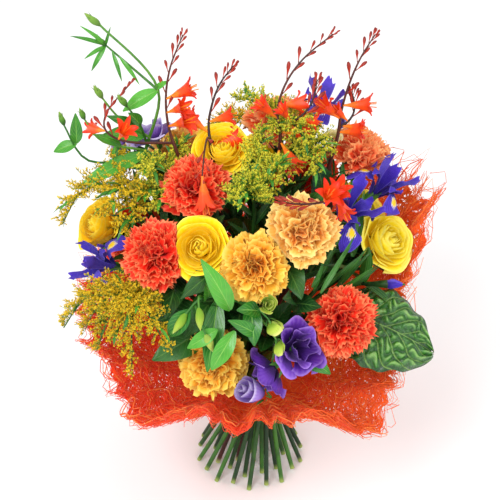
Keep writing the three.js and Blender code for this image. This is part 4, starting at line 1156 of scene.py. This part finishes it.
def swirl(skin, head, count, base, rim, top, drop, width, curl, wave, columns, rows, shut=0.0):
    """Cupped petals that wrap each other from the heart outwards.

    base, rim and width (in degrees) go from the first petal to the last; lengths are shares of the size.
    """
    size, basis = head["size"], head_basis(head["look"], rng.uniform(0, 6))
    v, u = shares(rows, columns)
    for n in range(count):
        q = n / (count - 1)
        heading = WRAP_TURN * n + rng.uniform(-0.15, 0.15)
        phase = rng.uniform(0, 6, 2)
        low = between(base, q)
        high = between(rim, q ** 0.9) * rng.uniform(0.95, 1.04)
        lip = np.maximum(v - 0.72, 0) / 0.28
        radius = low + (high - low) * np.sin(v * math.pi / 2) ** 0.75 + curl * (q - shut) * lip ** 1.5
        radius = radius + 0.04 * u * (1 - 0.4 * q) + wave * v ** 2 * np.sin(u * 5 + phase[0])
        height = -0.5 + (top - drop * q ** 1.4 + 0.5) * v - curl * 0.8 * max(q - shut, 0) * lip ** 2
        height = height - 0.2 * np.abs(u) ** 2.4 * v ** 1.5 + wave * v ** 2 * np.cos(u * 4 + phase[1])
        angle = heading + u * math.radians(between(width, q)) * (0.5 + 0.5 * v ** 0.6)
        local = polar(np.maximum(radius, 0.015) * size, angle, height * size)
        skin.grid(in_head(local @ basis.T, head), along=v, across=u, shade=rng.uniform(),
                  heart=max(0.0, 0.8 - 1.6 * q))


def make_rose(name, head):
    skin = Skin()
    swirl(skin, head, *WINDINGS["rose"])
    show(skin.piece(f"{name}_petals", FINISHES[head["colour"]]), name)


def lisianthus_heads(name):
    """Open blooms, cups and large buds are wound of petals; slim and young buds are closed."""
    for k, head in enumerate(stalks[name]["heads"]):
        skin = Skin()
        if head["kind"] != "bud" or head["size"] > SLIM_BUD:
            swirl(skin, head, *WINDINGS[head["kind"]])
        else:
            longer = 1.2 if head["size"] == YOUNG_BUD else 1.1
            spindle(skin, head["middle"], head["look"], head["size"] * longer, plump=0.42)
        show(skin.piece(f"{name}_head_{k}", FINISHES[head["colour"]]), name)


def spindle(skin, middle, look, size, plump):
    """A closed bud with its petals wound round each other."""
    basis = head_basis(look)
    v = np.linspace(0, 1, 12)[:, None]
    angle = round_angles(12)
    wound = 1 + 0.12 * np.cos(3 * angle + v * 6)
    radius = plump * np.sin(math.pi * np.clip(v, 0.02, 0.995) ** 0.75) ** 0.9 * wound
    rows = polar(radius * size, angle, (-1.1 + 2.6 * v) * size)
    skin.grid(middle + rows @ basis.T, closed=True, along=v, across=np.sin(angle), shade=rng.uniform())


# ---------------------------------------------------------------- irises
# profiles from the claw to the tip: distance out, height, half width, as shares of the head's size
IRIS_FALL = [(0.05, -0.36, 0.05), (0.28, 0.02, 0.12), (0.46, 0.14, 0.15), (0.64, 0.12, 0.3),
             (0.82, -0.02, 0.36), (0.95, -0.22, 0.26), (1.0, -0.38, 0.04)]
IRIS_STANDARD = [(0.05, -0.3, 0.05), (0.24, 0.14, 0.1), (0.42, 0.42, 0.18), (0.56, 0.64, 0.2),
                 (0.64, 0.8, 0.13), (0.68, 0.88, 0.03)]
IRIS_STYLE = [(0.04, -0.26, 0.05), (0.2, 0.2, 0.12), (0.36, 0.32, 0.16), (0.5, 0.3, 0.17), (0.58, 0.38, 0.13),
              (0.6, 0.48, 0.06)]


def iris_part(skin, head, basis, heading, profile, cup, wave, signal=0.0):
    """One fall, standard or style arm; signal is how strong its yellow patch is."""
    middles, sides = np.array([(r, 0, h) for r, h, _ in profile]), np.array([w for *_, w in profile])
    places, widths = smoothed(middles, sides, per=2)
    own = np.linspace(0, 1, len(places))
    at, u = shares(15, 9)
    radius = np.interp(at, own, places[:, 0])
    height = np.interp(at, own, places[:, 2])
    half = np.interp(at, own, widths)
    phase = rng.uniform(0, 6)
    lift = cup * half * u ** 2 + wave * np.abs(u) ** 2 * np.sin(at * 13 + phase + u)
    mark = signal * np.clip(1.1 - np.abs(at - 0.55) * 5.5, 0, 1) * np.clip(1.1 - np.abs(u) * 1.8, 0, 1)
    out, side = compass(heading)
    local = radius[..., None] * out + (u * half)[..., None] * side
    local = local + (height + lift)[..., None] * vec((0, 0, 1))
    skin.grid(in_head(local * head["size"] @ basis.T, head), along=at, across=u, shade=rng.uniform(),
              signal=mark)


def make_iris(name, head):
    skin = Skin()
    basis = head_basis(head["look"], rng.uniform(0, 6))
    for n in range(3):
        heading = THIRD_TURN * n
        iris_part(skin, head, basis, heading, IRIS_FALL, cup=-0.25, wave=0.09, signal=1.0)
        iris_part(skin, head, basis, heading, IRIS_STYLE, cup=-0.5, wave=0.07)
        iris_part(skin, head, basis, heading + SIXTH_TURN, IRIS_STANDARD, cup=0.4, wave=0.09)
    show(skin.piece(f"{name}_petals", FINISHES["blue"]), name)


# ---------------------------------------------------------------- leaves
def leaf(skin, root, tip, half_width, up=(0.2, 0.1, 1), arch=0.12, fold=0.35, wave=0.05, shape=0.8, rows=11,
         columns=7):
    """An arched blade, folded a little along its midrib and pointed at both ends."""
    root, tip = vec(root), vec(tip)
    along = tip - root
    length = np.linalg.norm(along)
    across = unit(np.cross(along, vec(up)))
    normal = unit(np.cross(across, along))
    v, u = shares(rows, columns)
    width = half_width * np.sin(math.pi * np.clip(v, 0.015, 0.985) ** shape) ** 0.8
    lift = arch * length * np.sin(math.pi * v) + np.abs(u) * width * fold
    lift = lift + wave * half_width * np.abs(u) * np.sin(v * 11 + u * 2 + rng.uniform(0, 6))
    points = root + along * v[..., None] + across * (u * width)[..., None] + normal * lift[..., None]
    skin.grid(points, along=v, across=u, shade=rng.uniform())


def stem_leaves(name, path, kind):
    """Leaves on the upper part of a cut flower's own stem, where they fill the head of the bouquet."""
    skin = Skin()
    narrow = kind in ("carnation", "goldenrod", "crocosmia", "iris")
    count = STEM_LEAVES[kind]
    for n in range(count):
        share = 0.62 + 0.34 * (n + rng.uniform(0, 0.8)) / count
        at, along = along_path(path, share)
        out = unit(vec((at[0], at[1], 0)) + 1e-3)
        spin = LEAF_TURN * n + rng.uniform(0, 1)
        sideways = unit(np.cross(along, out))
        heading = unit(along * 0.8 + (out * math.cos(spin) + sideways * math.sin(spin)) * 0.8 + out * 0.25)
        length = rng.uniform(38, 58) * (1.15 if kind == "iris" else 1)
        half = length * (0.09 if narrow else 0.26)
        leaf(skin, at, at + heading * length, half, up=out * 0.4 + vec((0.1, 0.1, 1)),
             arch=rng.uniform(0.02, 0.14))
    show(skin.piece(f"{name}_leaves", STRAP_LEAF if kind in ("iris", "crocosmia") else DEEP_LEAF), name)


def sepals(skin, head):
    """Green tips round the foot of a head."""
    form = head["kind"] if head["kind"] in SEPALS else "bloom"
    if head["kind"] == "bud" and head["size"] < SLIM_BUD:
        form = "young bud" if head["size"] == YOUNG_BUD else "slim bud"
    count, (low, wide), length, half, out, curl = SEPALS[form]
    basis = head_basis(head["look"])
    size = head["size"]
    for n in range(count):
        heading = 2 * math.pi * n / count
        foot = polar(size * wide, heading, size * low)
        tip = foot + polar(size * length * out, heading, size * length * curl)
        leaf(skin, head["middle"] + basis @ foot, head["middle"] + basis @ tip, half * size,
             up=basis @ polar(1, heading, 0.2), arch=-0.06, fold=0.2, wave=0.0, shape=0.7, rows=7, columns=5)


# ---------------------------------------------------------------- stems
def stem_lines(name):
    """The stem and its branches as smooth lines with their radii."""
    item = stalks[name]
    path = stem_path(name)
    radius = STEM_RADIUS if item["ring"] else MIDDLE_STEM_RADIUS
    if item["tubes"]:
        first, *rest = item["tubes"]
        tips = [1.6, 1.3, 1.1, 0.9, 0.6][:len(first)]
    else:
        first, rest, tips = np.array(item["heads"][0]["neck"]), [], item["heads"][0]["neck_radii"]
    whole = np.vstack([path, first[1:]])
    slim = [1, 1, 1, 0.94, 0.84, 0.74] if item["tubes"] else [1, 1, 1, 0.98, 0.95, 0.92]
    radii = [radius * share for share in slim] + list(np.resize(tips, len(first))[1:])
    points, sizes = smoothed(whole, np.array(radii), per=8)
    if name in BLOOMS and BLOOMS[name][0] == "carnation":
        joints = np.linspace(0, JOINTS, len(points)) % 1 - 0.5
        sizes = sizes * (1 + JOINT_SWELL * np.exp(-(joints / JOINT_LENGTH) ** 2))
    return [(points, sizes)] + [smoothed(tube, np.linspace(1.4, 0.6, len(tube)), per=5) for tube in rest]


def make_stem(name, kind):
    """The stem with its branches, the leaves on it and the sepals under its heads."""
    finish = {"crocosmia": MAROON_STEM, "lisianthus": PALE_STEM}.get(kind, GREEN_STEM)
    stem = tubes(f"{name}_stem", stem_lines(name), finish, sides=9)
    for corner in stem.data.vertices:
        corner.co.z = max(corner.co.z, 0.0)
    show(stem, name)
    if kind in STEM_LEAVES:
        stem_leaves(name, stem_path(name), kind)
    skin = Skin()
    for head in stalks[name]["heads"]:
        sepals(skin, head)
    if skin.count:
        show(skin.piece(f"{name}_calyx", CALYX), name)


# ---------------------------------------------------------------- crocosmia
def crocosmia_bud():
    """A slender curved bud on a thin tube, its end swollen, 1 mm long on +Z."""
    skin = Skin()
    v = np.linspace(0, 1, 8)[:, None]
    angle = round_angles(7)
    radius = 0.032 + 0.088 * np.clip((v - 0.3) / 0.45, 0, 1) ** 1.4 * np.clip((1.02 - v) * 5, 0, 1) ** 0.6
    rows = polar(radius, angle, v + 0 * angle)
    rows[..., 1] += 0.16 * np.sin(math.pi * v * 0.5) ** 2
    skin.grid(rows, closed=True, along=v, across=np.sin(angle))
    return skin.mesh("crocosmia_bud")


def crocosmia_floret(seed):
    """A long funnel with six pointed lobes that spread a little, and its stamens, 1 mm long on +Z."""
    draw = np.random.default_rng(seed)
    skin = Skin()
    v = np.linspace(0, 1, 5)[:, None]
    angle = round_angles(6)
    funnel = polar(0.035 + 0.11 * v ** 1.8, angle, v * 0.46)
    skin.grid(funnel, closed=True, along=v * 0.3, across=np.sin(angle))
    spread = draw.uniform(0.24, 0.42)
    for n in range(6):
        heading = n * math.pi / 3 + draw.uniform(-0.14, 0.14)
        t, u = shares(6, 4)
        wide = 0.15 if n % 2 else 0.115
        radius = 0.13 + spread * t ** 1.35 - 0.07 * u ** 2 * (1 - t)
        height = 0.42 + 0.56 * np.sin(t * 1.35) - draw.uniform(0, 0.16) * t ** 2.5 + 0.05 * u ** 2
        half = wide * np.sin(math.pi * np.clip(t * 0.86 + 0.12, 0.06, 0.97) ** 0.8) ** 0.7
        out, side = compass(heading)
        rows = radius[..., None] * out + (u * half)[..., None] * side + height[..., None] * vec((0, 0, 1))
        skin.grid(rows, along=0.3 + 0.7 * t, across=u)
    for n in range(3):
        t = np.linspace(0, 1, 3)[:, None]
        stamen = polar(0.01 + 0.012 * t, round_angles(3), 0.3 + 0.8 * t)
        stamen = stamen + (t * 0.1)[..., None] * compass(0.5 + n * STAMEN_TURN)[0]
        skin.grid(stamen, closed=True, along=0.1 * t, across=0.0)
    return skin.mesh(f"crocosmia_floret_{seed}")


CROCOSMIA_BUDS = [crocosmia_bud()]
CROCOSMIA_FLORETS = [crocosmia_floret(seed) for seed in range(VARIANTS)]


def make_crocosmia(name):
    """Buds in two ranks towards the tip of each spike, open florets further down."""
    base, spikes = CROCOSMIA[name]
    buds, florets = Places(), Places()
    for k, (tip, _, bud_count, open_count, low, turn) in enumerate(spikes):
        tube = stalks[name]["tubes"][k]
        path, _ = smoothed(tube, np.ones(len(tube)), per=8)
        side = unit(np.cross(vec(tip) - vec(base), vec((0.2, 1, 0.1))))
        up = unit(np.cross(side, vec(tip) - vec(base)))
        for n in range(bud_count):
            q = n / bud_count
            at, along = along_path(path, 0.4 + 0.6 * (q * (2 - q)) ** 0.8)
            swing = rng.uniform(0.5, 0.95) * (1 if n % 2 else -1) * (1 - 0.4 * q)
            heading = along + side * swing + up * rng.uniform(-0.2, 0.5)
            buds.put(at, basis_along(heading, along), 18 * (1 - 0.6 * q) * rng.uniform(0.85, 1.1), 0)
        for n in range(open_count):
            at, along = along_path(path, low + 0.34 * n / open_count)
            heading = along * 0.4 + side * (turn if n % 2 else -1) * rng.uniform(0.7, 1.1)
            heading = heading + up * rng.uniform(-0.4, 0.4)
            florets.put(at, basis_along(heading, along), SPIKE_FLORETS[k] * rng.uniform(0.85, 1.1),
                        int(rng.integers(VARIANTS)))
    for at, heading, size in MORE_FLORETS.get(name, []):
        florets.put(vec(at), basis_along(vec(heading), vec((0, 0, 1))), size, int(rng.integers(VARIANTS)))
    show(copies(f"{name}_buds", CROCOSMIA_BUDS, buds, CROCOSMIA_BUD), name)
    show(copies(f"{name}_florets", CROCOSMIA_FLORETS, florets, CROCOSMIA_LOBE), name)


# ---------------------------------------------------------------- goldenrod
def goldenrod_floret(seed):
    """A tiny tufted head: a green foot and short yellow rays, about 1 mm long on +Z."""
    draw = np.random.default_rng(seed)
    skin = Skin()
    v = np.array([0, 0.5, 1])[:, None]
    tuft = polar(0.1 + 0.16 * np.sin(v * 2.6), round_angles(5), v * 0.7)
    skin.grid(tuft, closed=True, along=v * 0.5, across=0.0)
    for n in range(GOLDENROD_RAYS):
        out, side = compass(n * RAY_TURN + draw.uniform(-0.2, 0.2))
        reach = draw.uniform(0.35, 0.62)
        top = draw.uniform(0.85, 1.25)
        ray = [[out * far + side * wide + vec((0, 0, high)) for wide in (half, -half)]
               for far, half, high in ((0.1, 0.04, 0.5), (reach, 0.14, top))]
        skin.grid(np.array(ray), along=np.array([[0.6], [1.0]]), across=0.0)
    return skin.mesh(f"goldenrod_floret_{seed}")


GOLDENROD_FLORETS = [goldenrod_floret(seed) for seed in range(VARIANTS)]


def make_goldenrod(name):
    """Plumes of short twigs that rise from the upper side of each branch, covered with florets."""
    twigs, places, skin = [], Places(), Skin()
    base = stalks[name]["base"]
    more = [bend_clear(quadratic(base, vec(tip), bow, 4), name, fixed=1)
            for tip, bow in MORE_PLUMES.get(name, [])]
    for tube in stalks[name]["tubes"] + more:
        path, _ = smoothed(tube, np.ones(len(tube)), per=8)
        twigs.append((path, np.linspace(1.0, 0.5, len(path))))
        length = np.linalg.norm(np.diff(path, axis=0), axis=1).sum()
        count = max(int(length / TWIG_SPACING), FEWEST_TWIGS)
        for n in range(count):
            share = 0.06 + 0.94 * (n + rng.uniform(0, 0.7)) / count
            at, along = along_path(path, share)
            up = unit(vec((0, 0, 1)) - along * along[2] + 1e-4)
            side = np.cross(along, up)
            turn = rng.uniform(-1.9, 1.9)
            heading = unit(along * rng.uniform(0.4, 0.9) + up * math.cos(turn) + side * math.sin(turn) * 1.2)
            reach = (22 * (1 - share) ** 0.6 + 6) * rng.uniform(0.6, 1.2)
            twig = quadratic(at, at + heading * reach, up * reach * -0.05 + along * reach * -0.06, 5)
            twigs.append((twig, 0.26))
            put_florets(places, twig, up, max(int(reach / FLORET_SPACING), FEWEST_FLORETS))
        for n in range(LEAFLETS):
            at, along = along_path(path, 0.02 + 0.08 * n)
            heading = unit(along + rng.uniform(-1, 1, 3) * 0.9 + vec((0, 0, -0.2)))
            leaf(skin, at, at + heading * rng.uniform(14, 24), 1.9, rows=7, columns=5)
    floret = LIME_FLORET if name in LIME_GOLDENROD else GOLD_FLORET
    show(tubes(f"{name}_twigs", twigs, PALE_STEM, sides=4), name)
    show(copies(f"{name}_florets", GOLDENROD_FLORETS, places, floret), name)
    show(skin.piece(f"{name}_leaflets", FRESH_LEAF), name)


def put_florets(places, twig, up, count):
    """Florets along a twig, most of them on its upper side."""
    for n in range(count):
        spot, way = along_path(twig, 0.15 + 0.85 * n / count)
        lift = unit(up + way * 0.3 + rng.normal(0, 0.7, 3))
        at = spot + lift * rng.uniform(0.2, 2.2)
        size = rng.uniform(1.7, 2.9)
        places.put(at, basis_along(lift, way), (size * 0.9, size * 0.9, size), int(rng.integers(VARIANTS)))


# ---------------------------------------------------------------- leaves on their own
def make_lisianthus_leaves(name):
    """The ovate leaves of a spray, where the tables put them."""
    skin = Skin()
    for branch, start, tip, width in LISIANTHUS[name][3]:
        root = along_path(stalks[name]["tubes"][branch], start)[0]
        leaf(skin, root, tip, width * 0.5, up=(0.1, -0.6, 0.8), arch=0.08, fold=0.3, rows=13, columns=9)
    for root, tip, width in MORE_LEAVES.get(name, []):
        if len(root) == 2:
            root = along_path(stalks[name]["tubes"][root[0]], root[1])[0]
        leaf(skin, root, tip, width * 0.5, up=(0.1, -0.7, 0.7), arch=0.12, fold=0.25, rows=13, columns=9)
    show(skin.piece(f"{name}_blades", FRESH_LEAF), name)


def make_puckered_leaf():
    """The large leaf: round, deeply veined, puckered between the veins, its edge waved."""
    root, tip, half = vec(PUCKERED_LEAF["root"]), vec(PUCKERED_LEAF["tip"]), PUCKERED_LEAF["half_width"]
    along = tip - root
    across = unit(np.cross(along, vec((0.45, -0.55, 0.7))))
    normal = unit(np.cross(across, along))
    v = np.linspace(0.002, 0.998, PUCKERED_ROWS)[:, None]
    u = np.linspace(-1, 1, PUCKERED_ROWS)[None]
    side = np.abs(u)
    width = half * np.sin(math.pi * v ** 0.8) ** 0.62 * (1 + 0.035 * np.sin(v * 34))
    rib = (v * 6.2 - side * 2.4 + 0.12 * np.sin(side * 7 + v * 5) + 0.25 * (u > 0)) % 1.0
    near = np.minimum(rib, 1 - rib)
    vein = np.minimum(near * 1.5, side * 5)
    puff = np.sin(math.pi * rib) ** 0.7 * np.clip(side * 5, 0, 1) * np.clip((1 - side) * 6, 0.2, 1)
    wavy = side * 3.6 + 0.45 * np.sin(v * 17 + u) + 0.3 * np.sin(v * 41)
    cross = 0.62 + 0.38 * np.cos(2 * math.pi * wavy)
    lift = 9 * np.sin(math.pi * v) - 12 * side ** 2 + 4.6 * puff * cross + 3 * side ** 3 * np.sin(v * 19 + u)
    reach = v - 0.12 * side * (0.5 - v)
    points = root + along * reach[..., None] + across * (u * width)[..., None] + normal * lift[..., None]
    skin = Skin()
    # shade here is how high each pucker stands, which the finish turns into painted highlights and painted
    # shade
    skin.grid(points, along=v, across=u, shade=puff * cross, vein=vein)
    show(skin.piece("puckered_leaf_blade", PUCKERED), "puckered_leaf")


def make_strap_leaves():
    """The strap leaves on the right, with the one closed iris bud in its sheath."""
    skin = Skin()
    root = vec(STRAP_LEAVES["root"])
    for tip in STRAP_LEAVES["tips"]:
        leaf(skin, root, tip, STRAP_LEAVES["half_width"], arch=0.06, fold=0.5, shape=0.55, rows=15)
    show(skin.piece("strap_leaf_blades", STRAP_LEAF), "iris_leaves")
    tip = vec(STRAP_LEAVES["bud_tip"])
    look = unit(tip - root)
    bud = Skin()
    spindle(bud, root + look * 32, look, size=8, plump=0.6)
    show(bud.piece("iris_bud", FINISHES["blue"]), "iris_leaves")
    sheath = [root + look * k for k in (-1, 12, 20, 28, 33)]
    show(tubes("iris_bud_sheath", [(sheath, [2.0, 2.4, 3.8, 4.4, 2.6])], GREEN_STEM, sides=10), "iris_leaves")


def make_small_cup(name):
    """A small bloom on a thin stalk of its own."""
    flower, colour, foot, middle, look, size = SMALL_CUPS[name]
    foot, middle, look = vec(foot), vec(middle), unit(look)
    skin = Skin()
    head = {"owner": flower, "middle": middle, "look": look, "size": size}
    swirl(skin, head, *WINDINGS["small cup"])
    show(skin.piece(name, FINISHES[colour]), flower)
    stalk = quadratic(foot, middle - look * 4, vec((0, 6, 2)), 6)
    show(tubes(f"{name}_stalk", [(stalk, 1.0)], PALE_STEM, sides=7), flower)


def make_tucked_leaves():
    """Broad leaves tucked in among the heads, and narrow ones among the irises on the right."""
    broad, straps = Skin(), Skin()
    for root, tip, width in TUCKED_LEAVES:
        leaf(broad, root, tip, width / 2, up=(0.1, -0.7, 0.7), arch=0.1, fold=0.2, wave=0.12, rows=15,
             columns=9)
    show(broad.piece("tucked_leaf_blades", DEEP_LEAF), ["carnation_h", "carnation_g"])
    for root, tip, width in TUCKED_STRAPS:
        leaf(straps, root, tip, width / 2, up=(0.1, -0.7, 0.7), arch=0.06, fold=0.5, shape=0.6, rows=13)
    show(straps.piece("tucked_straps", STRAP_LEAF), ["carnation_b", "iris_a"])


# ---------------------------------------------------------------- wrapper and tie
def collar_edge(azimuth):
    """Radius and height of the sheet's edge, eased between the rows of the table."""
    k = np.clip(np.searchsorted(COLLAR[:, 0], azimuth, side="left"), 1, len(COLLAR) - 1)
    a, b = COLLAR[k - 1], COLLAR[k]
    t = (azimuth - a[..., 0]) / (b[..., 0] - a[..., 0])
    eased = t * t * (3 - 2 * t)
    return a[..., 1] + (b[..., 1] - a[..., 1]) * eased, a[..., 2] + (b[..., 2] - a[..., 2]) * eased


LUMPS = [(rng.integers(3, 30), rng.uniform(3, 16), rng.uniform(0, 6), rng.uniform(0, 6))
         for _ in range(LUMP_WAVES)]


def lumps(turn, t):
    """Soft, uneven dents and swells of the crumpled sheet, mostly between -1 and 1."""
    total = 0
    for around, outward, first, second in LUMPS:
        total = total + np.sin(around * turn + first) * np.sin(outward * t + second)
    return total / 2.2


def collar_point(azimuth, t):
    """A point of the ruffled sheet: t is 0 at the tie and 1 at the edge."""
    wrapped = (azimuth + 180) % 360 - 180
    radius, height = collar_edge(wrapped)
    turn = np.radians(wrapped)
    fold = (np.sin(turn * 16) * 5 + 4 * np.sin(turn * 9 + 1) + 3 * np.sin(turn * 37 + 2) * t) * t
    rough = lumps(turn, t) * t
    high = TIE_HEIGHT + NECK_RISE
    ragged = 4 * np.sin(turn * 23 + 2) + 3 * np.sin(turn * 51) + 3 * np.sin(turn * 87 + 1)
    return polar(NECK_RADIUS + (radius + ragged * t - NECK_RADIUS) * t + rough * 1.5, turn,
                 high + (height - high) * np.clip(t, 0, 2) ** BOWL_POWER + fold + rough * 2.6)


def make_web():
    """The sheet itself, with a short skirt under the tie and its own flat lay as UV."""
    azimuth = np.linspace(-180, 180, WEB_COLUMNS)[None]
    t = np.linspace(0, 1, WEB_ROWS)[:, None]
    points = collar_point(*np.broadcast_arrays(azimuth, t))
    skirt = polar(NECK_RADIUS, np.radians(azimuth), TIE_HEIGHT - SKIRT_DROP)
    skin = Skin()
    skin.grid(np.vstack([skirt, points]), along=np.vstack([[[0.0]], t]), shade=0.5)
    mesh = skin.mesh("wrapper_web", WEB)
    lay = mesh.uv_layers.new(name="lay")
    columns = np.tile(np.linspace(0, LAY_SIZE[0], WEB_COLUMNS), WEB_ROWS + 1)
    rows = np.repeat(np.linspace(0, LAY_SIZE[1], WEB_ROWS + 1), WEB_COLUMNS)
    corners = np.empty(len(mesh.loops), dtype=np.int32)
    mesh.loops.foreach_get("vertex_index", corners)
    lay.data.foreach_set("uv", np.column_stack([columns[corners], rows[corners]]).ravel())
    return show(place_mesh("wrapper_web", mesh), "wrapper")


def on_sheet(azimuth, t, off):
    return collar_point(np.array(azimuth), np.array(t)) + vec((0, 0, off))


def wander(azimuth, t, heading, step):
    """The azimuth and share a step further on, before the share is kept within its limits."""
    radius = 40 + 140 * t
    return azimuth + math.degrees(step * math.cos(heading) / radius), t + step * math.sin(heading) / SLANT


def strand_line():
    """One fibre: it wanders and curls over the sheet, and may loop out past the edge."""
    azimuth = rng.uniform(-180, 180)
    limit = 0.99 + 0.12 * rng.uniform() ** 3
    t = limit * (0.12 + 0.88 * rng.uniform() ** 0.6)
    heading = rng.uniform(0, 2 * math.pi)
    turning = rng.normal(0, 0.35)
    off = rng.uniform(-3, 4)
    step = rng.uniform(4.5, 7.5)
    points = []
    for _ in range(STRAND_POINTS):
        points.append(on_sheet(azimuth, t, off))
        turning = turning * 0.85 + rng.normal(0, 0.25)
        heading += turning
        if not 0.05 < wander(azimuth, t, heading, step)[1] < limit:
            heading = -heading + rng.normal(0, 0.5)
        azimuth, t = wander(azimuth, t, heading, step)
        t = min(max(t, 0.03), limit + 0.02)
        off = off * 0.8 + rng.normal(0, 1.8)
    return np.array(points)


def loop_line():
    """A loose loop that stands a little off the sheet."""
    azimuth = rng.uniform(-130, 70)
    t = rng.uniform(0.45, 0.95)
    heading = rng.uniform(0, 2 * math.pi)
    turning = rng.choice((-1, 1)) * rng.uniform(0.3, 0.6)
    lift = rng.uniform(3, 9)
    points = []
    for k in range(LOOP_POINTS):
        points.append(on_sheet(azimuth, t, lift * math.sin(math.pi * k / (LOOP_POINTS - 1)) + 1))
        heading += turning + rng.normal(0, 0.12)
        azimuth, t = wander(azimuth, t, heading, LOOP_STEP)
        t = min(max(t, 0.2), 1.05)
    return smoothed(np.array(points), np.ones(LOOP_POINTS), per=2)[0]


def make_fibres():
    """The loose fibres in a few lots, kept inside the room that the frame leaves them."""
    low, high = (vec(corner) for corner in FIBRE_BOX)
    pieces = []
    for k in range(FIBRE_LOTS):
        lines = [(np.clip(strand_line(), low, high), rng.uniform(0.2, 0.42)) for _ in range(STRANDS)]
        lines += [(np.clip(loop_line(), low, high), rng.uniform(0.35, 0.7)) for _ in range(LOOPS)]
        pieces.append(show(tubes(f"wrapper_fibres_{k}", lines, FIBRE, sides=3), "wrapper"))
    return pieces


def make_tie():
    """Three turns of three-ply twine, laid side by side."""
    lines = []
    angle = np.linspace(0, 2 * math.pi, TWINE_STEPS)
    for turn in range(TWINE_TURNS):
        height = TIE_HEIGHT - TWINE_RADIUS * TWINE_TURNS + TWINE_RADIUS * (2 * turn + 1)
        for ply in range(TWINE_PLIES):
            twist = angle * TWINE_TWISTS + ply * THIRD_TURN
            radius = TIE_INNER_RADIUS + TWINE_RADIUS + PLY_OFFSET * np.cos(twist)
            lines.append((polar(radius, angle, height + PLY_OFFSET * np.sin(twist)), PLY_RADIUS))
    show(tubes("tie_turns", lines, TWINE, sides=6), "tie")


# ---------------------------------------------------------------- the bouquet
MAKERS = {"carnation": make_carnation, "rose": make_rose, "iris": make_iris}

lay_out()
give_places()
for flower, item in stalks.items():
    if flower in BLOOMS:
        kind = BLOOMS[flower][0]
        MAKERS[kind](flower, item["heads"][0])
        make_stem(flower, kind)
    elif flower in LISIANTHUS:
        lisianthus_heads(flower)
        make_lisianthus_leaves(flower)
        make_stem(flower, "lisianthus")
    elif flower in CROCOSMIA:
        make_crocosmia(flower)
        make_stem(flower, "crocosmia")
    elif flower in GOLDENROD:
        make_goldenrod(flower)
        make_stem(flower, "goldenrod")
    else:
        make_stem(flower, "leaf")
make_puckered_leaf()
make_strap_leaves()
make_tucked_leaves()
for cup in SMALL_CUPS:
    make_small_cup(cup)
web = make_web()
fibres = make_fibres()
make_tie()


# ---------------------------------------------------------------- floor, light and camera
def make_floor():
    skin = Skin()
    steps = np.linspace(-FLOOR_REACH, FLOOR_REACH, FLOOR_POINTS)
    x, y = np.meshgrid(steps, steps)
    skin.grid(np.stack([x, y, np.full_like(x, -FLOOR_DROP)], axis=-1))
    skin.piece("floor", floor_finish())


def aim(name, data, place, target):
    """Puts a light or camera in its place, looking at the target."""
    obj = bpy.data.objects.new(name, data)
    obj.location = place
    obj.rotation_euler = (Vector(target) - Vector(place)).to_track_quat("-Z", "Y").to_euler()
    scene.collection.objects.link(obj)
    return obj


def make_lights():
    for name, place, size, power in LIGHTS:
        lamp = bpy.data.lights.new(name, "AREA")
        lamp.shape = "DISK"
        lamp.size = size
        lamp.energy = power
        aim(name, lamp, place, LIGHT_TARGET)


def make_world():
    world = bpy.data.worlds.new("studio")
    world.use_nodes = True
    background = world.node_tree.nodes["Background"]
    background.inputs["Color"].default_value = (1.0, 1.0, 1.0, 1.0)
    background.inputs["Strength"].default_value = WORLD_STRENGTH
    scene.world = world
    scene.view_settings.view_transform = "Standard"


def make_camera():
    """Looks along +Y and down at the middle of the bouquet, as the photograph does."""
    lens = bpy.data.cameras.new("camera")
    lens.lens = CAMERA_LENS
    lens.sensor_width = CAMERA_SENSOR
    pitch = math.radians(CAMERA_ELEVATION)
    place = Vector(CAMERA_TARGET) + Vector((0, -math.cos(pitch), math.sin(pitch))) * CAMERA_DISTANCE
    scene.camera = aim("camera", lens, place, CAMERA_TARGET)


make_floor()
make_world()
make_lights()
make_camera()
